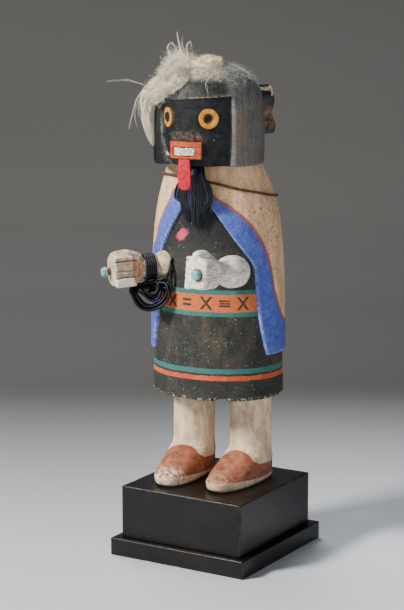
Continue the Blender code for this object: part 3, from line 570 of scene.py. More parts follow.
def arm_matrix(side):
    x, y, z, turn, rise = ARM[side][:5]
    return (
        FIGURE_PLACE
        @ Matrix.Translation((x / 1000, y / 1000, z / 1000))
        @ Matrix.Rotation(turn, 4, "Z")
        @ Matrix.Rotation(-rise, 4, "X")
    )


def hank_point(s, z, depth):
    """Local point from its place in the hank's plane."""
    return (
        HANK_PLACE[0] + s * sin(HANK_TURN) + depth * cos(HANK_TURN),
        HANK_PLACE[1] - s * cos(HANK_TURN) + depth * sin(HANK_TURN), z,
    )


def push_off_arm(points):
    """Points moved out of the right arm, its hand and the turns round its wrist."""
    wrist, length = ARM["right"][5:7]
    place = FIGURE_PLACE.inverted() @ arm_matrix("right")
    local = moved(points / 1000, place.inverted()) * 1000
    station = -local[:, 1]
    clear = YARN_DIAMETER / 2 + 0.15
    table = [(s, wrist if r is None else r) for s, r in FOREARM["right"]]
    radius = curve_at(table, 1, np.clip(station, table[0][0], WRIST_TO)) + clear
    on_band = (station > WRIST_FROM - 1.0) & (station < WRIST_TO + 0.5)
    radius = np.where(on_band, wrist + 0.5 + YARN_DIAMETER + clear, radius)
    on_hand = station > WRIST_TO + 0.5
    half_x = np.where(on_hand, 9.6 + clear, radius)
    half_z = np.where(on_hand, 11.6 + clear, radius)
    power = np.where(on_hand, 3.2, 2.0)
    inside = (np.abs(local[:, 0]) / half_x) ** power + (np.abs(local[:, 2]) / half_z) ** power
    scale = np.where(
        (inside < 1) & (station > -8) & (station < WRIST_TO + length), inside ** (-1 / power), 1.0,
    )
    scale = np.clip(scale, 1.0, 1.25)
    local[:, 0] *= scale
    local[:, 2] *= scale
    return moved(local / 1000, place) * 1000


def push_off_body(points):
    a, b, forward = body_radii(points[:, 2])
    clear = YARN_DIAMETER / 2 + 0.2
    x, y = points[:, 0], points[:, 1] + forward
    share = np.sqrt((x / (a + clear)) ** 2 + (y / (b + clear)) ** 2)
    out = np.where(share < 1, 1 / share, 1.0)
    return np.stack((x * out, y * out - forward, points[:, 2]), -1)


def settle(points, first, last, passes=60):
    """Strands between those two points are eased apart, smoothed and kept off the arm and the dress."""
    count = len(points)
    free = np.zeros(count)
    free[first:last] = 1.0
    ramp = np.minimum(np.arange(count) - first, last - np.arange(count)) / 5.0
    free = np.clip(np.minimum(free, ramp), 0, 1)[:, None]
    far_apart = np.abs(np.arange(count)[:, None] - np.arange(count)[None, :]) > 5
    reach = YARN_DIAMETER * 1.0
    drawn = points.copy()
    for turn in range(passes):
        gap = points[:, None, :] - points[None, :, :]
        distance = np.sqrt((gap ** 2).sum(axis=-1)) + 1e-6
        close = far_apart & (distance < reach)
        push = np.where(close, (reach - distance) / distance * 0.45, 0.0)
        move = (gap * push[..., None]).sum(axis=1)
        amount = np.linalg.norm(move, axis=1)[:, None]
        move *= np.minimum(1.0, 0.4 / np.maximum(amount, 1e-6))
        points = points + free * (move + 0.05 * (drawn - points))
        smooth = points.copy()
        smooth[1:-1] = 0.5 * points[1:-1] + 0.25 * (points[:-2] + points[2:])
        points = points + free * 0.6 * (smooth - points)
        eased = push_off_body(push_off_arm(points))
        points = points + free * (eased - points)
    return unkinked(points, 4.3)


def unkinked(points, least):
    """Bends tighter than that radius are opened out, clear of the arm and the dress."""
    for turn in range(260):
        before, here, after = points[:-4], points[2:-2], points[4:]
        a, b, c = here - before, after - here, after - before
        area = np.linalg.norm(np.cross(a, c), axis=1) / 2
        radius = np.prod([np.linalg.norm(v, axis=1) for v in (a, b, c)], axis=0) / np.maximum(4 * area, 1e-6)
        tight = np.zeros(len(points))
        tight[2:-2] = np.clip((least - radius) / least * 4.0, 0, 1)
        spread = np.maximum.reduce(
            [np.roll(tight, k) * w for k, w in ((0, 1), (1, 0.9), (-1, 0.9), (2, 0.6), (-2, 0.6))]
        )
        spread[:3] = spread[-3:] = 0
        smooth = points.copy()
        smooth[2:-2] = 0.5 * here + 0.25 * (before + after)
        points = points + 0.5 * spread[:, None] * (smooth - points)
        if turn % 4 == 0:
            moved_off = push_off_body(push_off_arm(points))
            points = points + 0.5 * np.clip(spread * 4, 0, 1)[:, None] * (moved_off - points)
    return points


def yarn_route():
    """Centre line of the yarn in metres."""
    route = [(-21.8, -36.9, 175.0), (-22.2, -37.6, 171.0)]
    for index, (share, depth, crest) in enumerate(LOOPS):
        low = min(int(share), 1)
        line = LOOP_GUIDES[low] + (LOOP_GUIDES[low + 1] - LOOP_GUIDES[low]) * (share - low)
        route.append(hank_point(line[0, 0] + 0.2, crest - 0.8, depth))
        for step, (s, z) in enumerate(line):
            if step == 0 and crest < 161.0:
                continue
            route.append(hank_point(s, z, depth * (0.7 if step > 8 else 1.0)))
        lane = (index * 3) % 4
        if index < len(LOOPS) - 1:
            following, crest_next = LOOPS[index + 1][1:]
            route += [
                hank_point(25.0, 153.6, 0.5 * depth - 2.6), hank_point(20.8, 154.4 - 0.4 * lane, -5.4),
                hank_point(14.0, 155.4 - 0.9 * lane, -6.6), hank_point(7.5, 155.2 - 0.9 * lane, -5.6),
                hank_point(1.6, 155.6 - 0.6 * lane, -3.6 + 0.3 * following),
                hank_point(-2.0, 0.5 * (crest_next + 156.5), 0.6 * following - 1.6),
            ]
    route += [hank_point(25.0, 153.6, -1.0), hank_point(22.6, 155.6, -3.6)]
    place = FIGURE_PLACE.inverted() @ arm_matrix("right")
    ring = ARM["right"][5] + 0.45 + YARN_DIAMETER / 2
    steps = 18
    turns = []
    for index in range(int(YARN_TURNS * steps) + 1):
        share = index / (YARN_TURNS * steps)
        angle = -pi / 2 + 2 * pi * YARN_TURNS * share
        station = WRIST_TO - 1.2 - (WRIST_TO - WRIST_FROM - 2.5) * share
        wobble = 0.12 * sin(3.1 * angle)
        turns.append(
            ((ring + wobble) * cos(angle) / 1000, -station / 1000, (ring + wobble) * sin(angle) / 1000)
        )
    turns = (moved(np.array(turns), place) * 1000).tolist()
    tail = [
        hank_point(8.5, 157.2, -3.4), hank_point(3.0, 158.6, -2.2), hank_point(-2.0, 162.6, -1.0),
        (-22.6, -37.6, 168.6), (-21.9, -36.6, 174.0),
    ]
    before = path_length(spline_through(route, 1.5))
    whole = spline_through(route + turns + tail, 1.5)
    settled = settle(whole, 4, int(before / 1.5) + 1)
    return moved(spline_through(settled, 1.0) / 1000, FIGURE_PLACE)


def build_yarn():
    route = yarn_route()
    vertices, faces = tube(route * 1000, YARN_DIAMETER / 2, 10, plies=2, pitch=6.5, depth=0.14)
    paint = Paint("black_yarn_gloss", 0.5, Specular_IOR_Level=0.28)
    colour = paint.mix(paint.noise(2.2, 2.0), "#020204", "#0a0a12")
    paint.set("Base Color", colour)
    fibres = paint.noise(0.5, 3.0, stretch=(1.0, 1.0, 0.35))
    paint.bump(fibres, 0.12, 0.6)
    yarn = add_mesh("yarn", vertices, faces, paint.material, matrix=Matrix.Identity(4))
    fit_piece(yarn, ("wrist_yarn", "yarn_hank"))


# Carved body
def body_radii(z):
    return curve_at(DRESS, 1, z), curve_at(DRESS, 2, z), curve_at(DRESS, 3, z)


def body_point(z, angle, offset=0.0):
    """Point on the dress in millimetres; the angle is from the front, toward the left."""
    a, b, f = body_radii(z)
    return np.stack(
        ((a + offset) * np.sin(angle), -(b + offset) * np.cos(angle) - f, z * np.ones_like(angle)), -1,
    )


SASH_MOTIFS = (-25.0, -9.2, 8.7, 25.1, 41.9)


def dress_paint():
    paint = Paint("dress_paint", 0.72, Specular_IOR_Level=0.22)
    z = paint.axis("Z")
    around = paint.attribute("around")
    wobble = paint.times(paint.minus(paint.noise(5.0, 4.0, 0.65), 0.5), 1.7)
    level = paint.plus(z, wobble)
    soft = paint.noise(16.0, 4.0, 0.6)
    base = paint.mix(paint.step(soft, 0.5, 0.18), "#181a18", "#2f322d")
    earth = paint.spread(0.54, 0.1, 9.0, 5.0, 0.7, stretch=(1.0, 1.0, 0.45))
    skirt = paint.both(paint.band(z, 92.0, 134.0, 5.0), 0.5)
    base = paint.over(base, "#4f4235", earth, paint.plus(skirt, 0.15))
    grain = paint.spread(0.6, 0.1, 0.9, 4.0, 0.8)
    base = paint.over(base, "#565751", grain, 0.4)
    dark = paint.spread(0.58, 0.08, 1.6, 4.0, 0.75, stretch=(1.0, 1.0, 0.6))
    base = paint.over(base, "#191b19", dark, 0.6)
    base = paint.grit(base, "#66665f", "#101210", 0.3, 0.8)
    # Painted shade: the upper dress, under the beard and the head, is painted darker and bluer toward the top
    base = paint.over(base, "#10141b", paint.step(z, 186.0, 12.0), 0.6)
    fleck = paint.below(paint.spots(2.6), 0.11, 0.04)
    chosen = paint.spread(0.52, 0.06, 7.0, 2.0)
    base = paint.over(base, "#b9b7aa", fleck, chosen, 0.8)
    green = paint.mix(paint.noise(3.0, 3.0), "#24534c", "#417c6f")
    green = paint.over(green, "#2c5f70", paint.spread(0.55, 0.08, 12.0, 2.0), 0.6)
    orange = paint.mix(paint.noise(2.6, 4.0), "#a3441f", "#d0723c")
    orange = paint.over(
        orange, "#b8432e", paint.spread(0.52, 0.06, 10.0, 2.0), paint.below(z, 100.0, 1.0), 0.8,
    )
    rubbed = paint.spread(0.6, 0.05, 1.5, 5.0, 0.75)
    for low, high, colour in (
        (133.4, 153.4, green), (136.9, 149.9, orange), (84.9, 88.5, orange), (90.1, 93.9, green),
    ):
        cover = paint.both(paint.band(level, low, high, 0.35), paint.minus(1.0, paint.both(rubbed, 0.8)))
        base = paint.mix(cover, base, colour)
    up = paint.minus(z, 143.4)
    strokes = []
    for index, angle in enumerate(SASH_MOTIFS):
        u = paint.minus(around, angle * radians(1.0) * 48.6)
        across = paint.size_of(u)
        tall = paint.size_of(up)
        if index == 1:
            bars = paint.band(tall, 0.9, 2.8, 0.3)
            strokes.append(paint.both(bars, paint.below(across, 3.6, 0.5)))
        elif index == 3:
            wave = paint.size_of(paint.minus(tall, 1.9))
            bars = paint.either(paint.below(tall, 0.65, 0.3), paint.below(wave, 0.7, 0.3))
            strokes.append(paint.both(bars, paint.below(across, 4.2, 0.6)))
        else:
            slant = paint.size_of(paint.minus(paint.times(across, 1.25), tall))
            strokes.append(paint.both(paint.below(slant, 1.5, 0.5), paint.below(tall, 4.9, 0.4)))
    worn = paint.spread(0.36, 0.1, 1.1, 3.0, 0.7)
    base = paint.over(base, "#22302a", paint.either(*strokes), worn)
    pink_u = paint.minus(around, -14.0)
    pink_v = paint.minus(paint.minus(z, 193.6), paint.times(pink_u, 0.35))
    far = paint.math("SQRT", paint.plus(paint.math("POWER", paint.math("DIVIDE", pink_u, 5.4), 2.0),
                                        paint.math("POWER", paint.math("DIVIDE", pink_v, 4.1), 2.0)))
    far = paint.plus(far, paint.times(paint.minus(paint.noise(2.4, 5.0, 0.75), 0.5), 2.0))
    pink = paint.mix(paint.noise(1.5, 4.0), "#a83348", "#dc6672")
    base = paint.over(base, pink, paint.below(far, 0.95, 0.2), 0.85)
    chip = paint.attribute("chip")
    base = paint.mix(paint.step(chip, 0.5, 0.12), base, "#c9b79a")
    edge = paint.both(paint.below(z, 71.6, 1.1), paint.spread(0.55, 0.06, 2.4, 4.0, 0.7))
    base = paint.over(base, "#b9a988", edge, 0.8)
    paint.set("Base Color", base)
    paint.set("Roughness", paint.plus(0.55, paint.times(soft, 0.3)))
    relief = paint.plus(paint.noise(0.8, 5.0, 0.7), paint.times(paint.noise(4.0, 3.0), 0.6))
    paint.bump(relief, 0.35, 0.55)
    return paint.material


def build_dress():
    columns = 240
    rows = np.concatenate(([68.9, 69.1, 69.6, 70.4], np.linspace(71.4, 238.0, 112)))
    z, angle = np.meshgrid(rows, np.linspace(-pi, pi, columns, endpoint=False), indexing="ij")
    points = body_point(z, angle)
    carve = 0.22 * fractal(points * (1.0, 1.0, 0.55), 15.0, 3) + 0.07 * fractal(points, 3.5, 5)
    edge = -0.9 * (1 - smoothstep(68.9, 70.6, z)) ** 2
    wear = -1.0 * (1 - smoothstep(68.9, 73.5, z)) * smoothstep(0.15, 0.75, fractal(points, 8.0, 21))
    points = body_point(z, angle, carve + edge + wear)
    chip_at = np.array((19.5, -38.6, 68.2))
    reach = np.linalg.norm((points - chip_at) * (0.42, 0.8, 1.0), axis=-1)
    chip = 1 - smoothstep(2.2, 3.0, reach)
    points[..., 2] += chip * np.maximum(0, 71.6 - points[..., 2]) * 0.9
    points[..., 1] += chip * 1.3
    vertices = points.reshape(-1, 3)
    faces = grid_faces(len(rows), columns, closed=True)
    start = len(vertices)
    vertices = np.vstack((vertices, [(0, 0, 68.9)], [(0, -5, 238.0)]))
    faces += fan(list(range(columns)), start, flip=True)
    faces += fan(list(range(start - columns, start)), start + 1)
    around = np.append(angle.ravel() * 48.6, (0, 0))
    marks = {"around": around, "chip": np.append(chip.ravel(), (0, 0))}
    return add_mesh("dress", vertices, faces, dress_paint(), marks)


CAPE_LINE = {
    "left": (
        (0.0, 232.0), (17.5, 222.0), (33.0, 214.0), (49.0, 203.0), (61.0, 189.0), (68.0, 177.0),
        (72.0, 166.0),
        (75.0, 153.0), (83.0, 139.0), (92.0, 129.0), (108.0, 124.0), (180.0, 123.0),
    ),
    "right": (
        (0.0, 233.0), (29.6, 226.0), (34.0, 218.0), (41.0, 209.0), (49.5, 196.0), (55.0, 185.0),
        (60.5, 181.0),
        (66.0, 168.0), (72.0, 153.0), (80.0, 139.0), (92.0, 129.0), (108.0, 124.0), (180.0, 123.0),
    ),
}


def cape_line_distance(z, angle):
    """Millimetres above the painted line, which is positive on the tan part."""
    out = np.zeros_like(z)
    for side, sign in (("left", 1.0), ("right", -1.0)):
        table = np.array(CAPE_LINE[side])
        fine = np.linspace(0, 180, 721)
        line = curve_at(CAPE_LINE[side], 1, fine)
        pick = angle * sign >= 0
        degrees_of = np.degrees(np.abs(angle[pick]))
        height = np.interp(degrees_of, fine, line)
        across = (fine[None, :] - degrees_of[:, None]) * radians(1.0) * 47.0
        down = line[None, :] - z[pick][:, None]
        near = np.sqrt(np.min(across ** 2 + down ** 2, axis=1))
        out[pick] = np.where(z[pick] > height, near, -near)
    return out


def cape_paint():
    paint = Paint("cape_paint", 0.7)
    line = paint.attribute("line")
    border = paint.attribute("border")
    z = paint.axis("Z")
    wander = paint.times(paint.minus(paint.noise(7.0, 4.0, 0.65), 0.5), 2.2)
    line = paint.plus(line, wander)
    streak = paint.noise(4.0, 4.0, 0.65, stretch=(1.0, 1.0, 0.12))
    tan = paint.mix(paint.step(streak, 0.5, 0.2), "#c0956c", "#efc79c")
    blotch = paint.spread(0.55, 0.14, 11.0, 4.0, 0.65)
    tan = paint.over(tan, "#a08058", blotch, 0.4)
    warm = paint.spread(0.62, 0.07, 6.0, 4.0, 0.7, stretch=(1.0, 1.0, 0.3))
    tan = paint.over(tan, "#b97a4c", warm, 0.5)
    speck = paint.spread(0.575, 0.03, 2.1, 5.0, 0.85)
    zone = paint.spread(0.42, 0.12, 14.0, 2.0)
    lower = paint.below(z, 226.0, 14.0)
    tan = paint.over(tan, "#3a2a1a", speck, zone, paint.plus(paint.times(lower, 0.5), 0.45))
    tan = paint.grit(tan, "#f3d8b4", "#6b4c32", 0.42, 0.9)
    blue = paint.mix(paint.spread(0.5, 0.2, 5.0, 4.0, 0.65), "#2a3f98", "#4a5fb2")
    pale = paint.spread(0.62, 0.06, 2.6, 5.0, 0.75)
    blue = paint.over(blue, "#8795c8", pale, 0.5)
    blue = paint.grit(blue, "#7687c8", "#24326e", 0.4, 0.9)
    dark = paint.spread(0.63, 0.05, 3.1, 5.0, 0.75, stretch=(1.0, 1.0, 0.4))
    blue = paint.over(blue, "#25305f", dark, 0.6)
    colour = paint.mix(paint.step(line, 0.0, 0.25), blue, tan)
    red = paint.mix(paint.noise(3.0, 3.0), "#7d3a2a", "#a3523c")
    thick = paint.plus(0.9, paint.times(paint.noise(9.0, 3.0), 0.7))
    stroke = paint.below(paint.size_of(line), thick, 0.3)
    broken = paint.spread(0.36, 0.08, 2.3, 4.0, 0.7)
    colour = paint.over(colour, red, stroke, broken, 0.9)
    scuff = paint.both(paint.below(border, 1.5, 0.9), paint.spread(0.5, 0.08, 3.0, 5.0, 0.7))
    colour = paint.over(colour, "#9ea4bb", scuff, 0.45)
    paint.set("Base Color", colour)
    relief = paint.plus(paint.noise(0.9, 5.0, 0.7), paint.times(streak, 0.7))
    paint.bump(relief, 0.35, 0.5)
    return paint.material


def build_cape():
    rows = np.concatenate(([103.0, 103.15, 103.7, 104.6], np.linspace(105.8, 248.0, 100)))
    inset = np.array((0.0, 0.25, 0.9, 1.9)) / 47.0
    across = 180
    right = np.radians(curve_at(CAPE, 1, rows))
    left = np.radians(curve_at(CAPE, 2, rows))
    shares = np.linspace(0, 1, across)
    angles, offsets, border = [], [], []
    round_off = (-1.4, -0.45, -0.1, 0.0)
    for row, (r, l) in enumerate(zip(right, left)):
        open_front = (l - r) > 0.03
        steps = inset if open_front else inset * 0.2
        start, stop = l, 2 * pi + r
        middle = start + steps[-1] + (stop - start - 2 * steps[-1]) * shares
        line = np.concatenate((start + steps[:-1], middle, (stop - steps[:-1])[::-1]))
        fall = np.array(round_off[:-1]) if open_front else np.zeros(3)
        angles.append(line)
        offsets.append(np.concatenate((fall, np.zeros(across), fall[::-1])))
        near = np.minimum(line - start, stop - line) * 47.0
        border.append(near if open_front else np.full(len(line), 40.0))
    angle = np.array(angles)
    offset = np.array(offsets) + CAPE_PROUD
    z = rows[:, None] * np.ones_like(angle)
    bottom = np.array(round_off + (0.0,) * (len(rows) - 4))[:, None]
    offset = np.where(bottom < 0, np.minimum(offset, CAPE_PROUD + bottom), offset)
    flat = body_point(z, angle, offset)
    hand = 0.25 * fractal(flat * (1.0, 1.0, 0.5), 17.0, 8) + 0.08 * fractal(flat, 4.0, 9)
    outer = body_point(z, angle, offset + hand)
    inner = body_point(z, angle, -2.0 * np.ones_like(angle))
    count, width = angle.shape
    vertices = np.vstack((outer.reshape(-1, 3), inner.reshape(-1, 3)))
    total = count * width
    faces = grid_faces(count, width) + [tuple(reversed(f)) for f in grid_faces(count, width, first=total)]
    for row in (0, count - 1):
        for c in range(width - 1):
            a = row * width + c
            faces.append((a, a + 1, a + 1 + total, a + total))
    for r in range(count - 1):
        for c in (0, width - 1):
            a = r * width + c
            faces.append((a, a + width, a + width + total, a + total))
    wrapped = (angle + pi) % (2 * pi) - pi
    line = cape_line_distance(z.ravel(), wrapped.ravel())
    marks = {
        "line": np.concatenate((line, line)),
        "border": np.tile(np.minimum(np.array(border), z - 103.0).ravel(), 2),
    }
    return add_mesh("cape", vertices, faces, cape_paint(), marks)


# Legs and feet
FOOT = (
    (0.0, 52.5, 17.5, 14.0), (2.2, 55.6, 18.6, 16.0), (7.0, 56.2, 18.8, 16.6), (10.0, 52.0, 18.0, 16.6),
    (14.0, 42.0, 17.0, 16.5), (18.5, 31.0, 16.6, 16.3), (23.5, 19.5, 16.2, 16.1), (28.0, 16.4, 16.0, 16.0),
    (78.0, 16.0, 16.0, 16.0),
)
FOOT_TURN = {"right": radians(-1.0), "left": radians(-7.5)}


def leg_paint(side):
    paint = Paint("leg_paint_" + side, 0.7)
    z = paint.axis("Z")
    toe = paint.attribute("toe")
    streak = paint.noise(6.0, 4.0, 0.65, stretch=(1.0, 1.0, 0.35))
    white = paint.mix(paint.step(streak, 0.5, 0.2), "#b59b7b", "#e2cba9")
    dirt = paint.spread(0.62, 0.06, 1.5, 5.0, 0.8)
    zone = paint.spread(0.48, 0.12, 10.0, 3.0, 0.6)
    white = paint.over(white, "#8b7355", dirt, zone, 0.6)
    ochre = paint.spread(0.58, 0.08, 8.0, 4.0, 0.65, stretch=(1.0, 1.0, 0.5))
    white = paint.over(white, "#a37648", ochre, 0.6)
    white = paint.grit(white, "#f2e8d4", "#8e7452", 0.35, 0.9)
    wander = paint.times(paint.minus(paint.noise(5.0, 4.0, 0.65), 0.5), 1.6)
    top = paint.plus(paint.attribute("vamp"), wander)
    sole = paint.plus(paint.attribute("sole"), paint.times(wander, 0.5))
    over = paint.both(paint.below(z, top, 0.3), paint.step(z, sole, 0.3))
    first, second = ("#6f3c25", "#a66241") if side == "right" else ("#7f4532", "#ab694e")
    brown = paint.mix(paint.spread(0.5, 0.2, 7.0, 4.0, 0.6), first, second)
    stain = paint.spread(0.56, 0.08, 4.5, 4.0, 0.7)
    brown = paint.over(brown, "#552b1c", stain, 0.65)
    brown = paint.grit(brown, "#c58a62", "#4a2416", 0.3, 0.9)
    rim = paint.below(paint.size_of(paint.minus(z, top)), 1.0, 0.5)
    brown = paint.over(brown, "#8c2f20", rim, 0.7)
    colour = paint.mix(over, white, brown)
    scuff = paint.both(paint.step(toe, 45.0, 5.0), paint.spread(0.5, 0.05, 4.0, 5.0, 0.7))
    if side == "right":
        colour = paint.over(colour, "#d9cfbd", scuff, 0.85)
        bare = paint.both(paint.step(toe, 40.0, 4.0), paint.spread(0.58, 0.04, 3.2, 5.0, 0.7))
        colour = paint.over(colour, "#7d6244", bare, 0.8)
    else:
        colour = paint.over(colour, "#cbbba0", scuff, 0.3)
    heel = paint.both(paint.below(toe, -4.0, 6.0), paint.below(z, 22.0, 5.0))
    colour = paint.over(colour, "#54382a", heel, 0.35)
    paint.set("Base Color", colour)
    relief = paint.plus(paint.noise(1.0, 5.0, 0.7), paint.times(streak, 0.5))
    paint.bump(relief, 0.35, 0.5)
    return paint.material


def build_leg(side):
    sign = 1.0 if side == "left" else -1.0
    rows = np.concatenate(([0.0, 0.25, 0.8, 1.6], np.linspace(2.4, 30.0, 46), np.linspace(31.2, 76.0, 30)))
    columns = 120
    height, angle = np.meshgrid(rows, 2 * pi * np.arange(columns) / columns, indexing="ij")
    toe, heel, half = (curve_at(FOOT, c, height) for c in (1, 2, 3))
    share = np.minimum(1.0, (toe - 16.0) / 16.0)
    power = 2.0 + 0.45 * share
    x = half * signed_power(np.sin(angle), power) * (1 - 0.13 * share * np.cos(angle))
    y = (heel - toe) / 2 - (toe + heel) / 2 * signed_power(np.cos(angle), power)
    points = np.stack((x, y, height), -1)
    radial = np.stack((np.sin(angle), -np.cos(angle), 0 * angle), -1)
    rough = 0.22 * fractal(points + 50 * sign, 9.0, 13) + 0.06 * fractal(points, 2.5, 15)
    points = points + radial * rough[..., None]
    step = 0.5 * (1 - smoothstep(-0.5, 0.6, height - (4.6 + 2.6 * smoothstep(0, 50, -y))))
    points = points + radial * (step * (height < 12))[..., None]
    turn = FOOT_TURN[side]
    reach = -points[..., 1]
    local_x, local_y = points[..., 0].copy(), points[..., 1].copy()
    points[..., 0] = sign * 23.8 + cos(turn) * local_x - sin(turn) * local_y
    points[..., 1] = 9.0 + sin(turn) * local_x + cos(turn) * local_y
    vertices = points.reshape(-1, 3)
    faces = grid_faces(len(rows), columns, closed=True)
    start = len(vertices)
    vertices = np.vstack((vertices, [(sign * 23.8, -8.0, 0.0)], [(sign * 23.8, 9.0, 76.0)]))
    faces += fan(list(range(columns)), start, flip=True)
    faces += fan(list(range(start - columns, start)), start + 1)
    vamp = 24.5 - 10.5 * smoothstep(0.0, 1.0, np.abs(((angle + pi) % (2 * pi)) - pi) / (pi * 0.62))
    sole = 4.4 + 2.8 * smoothstep(5, 50, reach)
    tail = (0, 0)
    marks = {
        "toe": np.append(reach.ravel(), tail),
        "vamp": np.append(vamp.ravel(), tail), "sole": np.append(sole.ravel(), tail),
    }
    return add_mesh("leg_" + side, vertices, faces, leg_paint(side), marks)


# Head: hair cap, side locks and mask in one carved form
def head_xy(theta, radius_x, radius_y):
    turned = theta + HEAD_TURN
    return radius_x * np.sin(turned), -radius_y * np.cos(turned) - HEAD_FORWARD


def head_paint():
    paint = Paint("head_paint", 0.6, Specular_IOR_Level=0.16)
    mask = paint.attribute("mask")
    around = paint.attribute("around")
    z = paint.axis("Z")
    strand = paint.noise(2.2, 4.0, 0.7, stretch=(1.0, 1.0, 0.1))
    lock = paint.mix(paint.step(strand, 0.5, 0.25), "#3f3f40", "#686765")
    dust = paint.spread(0.55, 0.1, 5.0, 5.0, 0.7)
    lock = paint.over(lock, "#7d7b76", dust, 0.35)
    lock = paint.grit(lock, "#96938c", "#1d1d1e", 0.45, 1.1)
    wood = paint.spread(0.54, 0.07, 4.2, 5.0, 0.7, stretch=(1.0, 1.0, 0.2))
    low = paint.below(z, 284.0, 22.0)
    lock = paint.over(lock, "#6d5a4c", wood, low, 0.75)
    fore = paint.mix(paint.spread(0.5, 0.2, 4.5, 4.0, 0.65), "#141516", "#292b2b")
    fore = paint.over(fore, "#6b6b66", paint.spread(0.62, 0.05, 1.2, 5.0, 0.75), 0.5)
    fore = paint.grit(fore, "#5f5f59", "#0d0e0f", 0.35, 0.9)
    wander = paint.times(paint.minus(paint.noise(7.0, 4.0, 0.65), 0.5), 9.0)
    high = paint.step(paint.plus(z, wander), 309.5, 3.5)
    haze = paint.mix(paint.spread(0.48, 0.14, 3.0, 5.0, 0.75), "#625f54", "#aaa18d")
    fore = paint.over(fore, haze, high, 0.85)
    side = paint.plus(around, paint.times(wander, 0.6))
    hair = paint.mix(paint.either(paint.step(side, 31.0, 5.0), paint.below(side, -34.0, 4.0)), fore, lock)
    hair = paint.mix(paint.below(side, -29.0, 3.0), hair, "#0d0e10")
    worn = paint.both(
        paint.attribute("edge"), paint.spread(0.44, 0.08, 2.4, 5.0, 0.7, stretch=(1.0, 1.0, 0.4)),
    )
    hair = paint.over(hair, paint.mix(paint.noise(1.6, 4.0, 0.75), "#43352b", "#988a7c"), worn, 0.85)
    lip = paint.both(paint.attribute("lip"), paint.spread(0.46, 0.08, 2.6, 4.0, 0.7))
    hair = paint.over(hair, "#77705f", lip, 0.8)
    face = paint.mix(paint.spread(0.5, 0.2, 6.0, 4.0, 0.6), "#101113", "#1e2022")
    rub = paint.spread(0.6, 0.06, 3.0, 5.0, 0.75, stretch=(0.5, 0.5, 1.4))
    face = paint.over(face, "#44464a", rub, 0.35)
    bridge = paint.both(paint.band(z, 264.5, 271.0, 1.8), paint.below(paint.size_of(around), 14.0, 4.0))
    face = paint.over(face, "#5c4a40", bridge, paint.spread(0.46, 0.1, 3.0, 4.0, 0.7), 0.7)
    pale = paint.both(
        paint.attribute("cheek"), paint.spread(0.52, 0.07, 3.4, 4.0, 0.65, stretch=(1.0, 1.0, 0.4)),
    )
    face = paint.over(face, "#5f6864", pale, 0.7)
    colour = paint.mix(paint.step(mask, 0.5, 0.1), hair, face)
    dot = paint.both(paint.below(paint.spots(4.5), 0.08, 0.03), paint.spread(0.5, 0.04, 8.0, 2.0))
    colour = paint.over(colour, "#a9aaa6", dot, 0.7)
    paint.set("Base Color", colour)
    paint.set("Roughness", paint.plus(0.45, paint.times(dust, 0.3)))
    relief = paint.plus(strand, paint.times(paint.noise(0.9, 4.0, 0.7), 0.5))
    paint.bump(relief, 0.3, 0.5)
    return paint.material


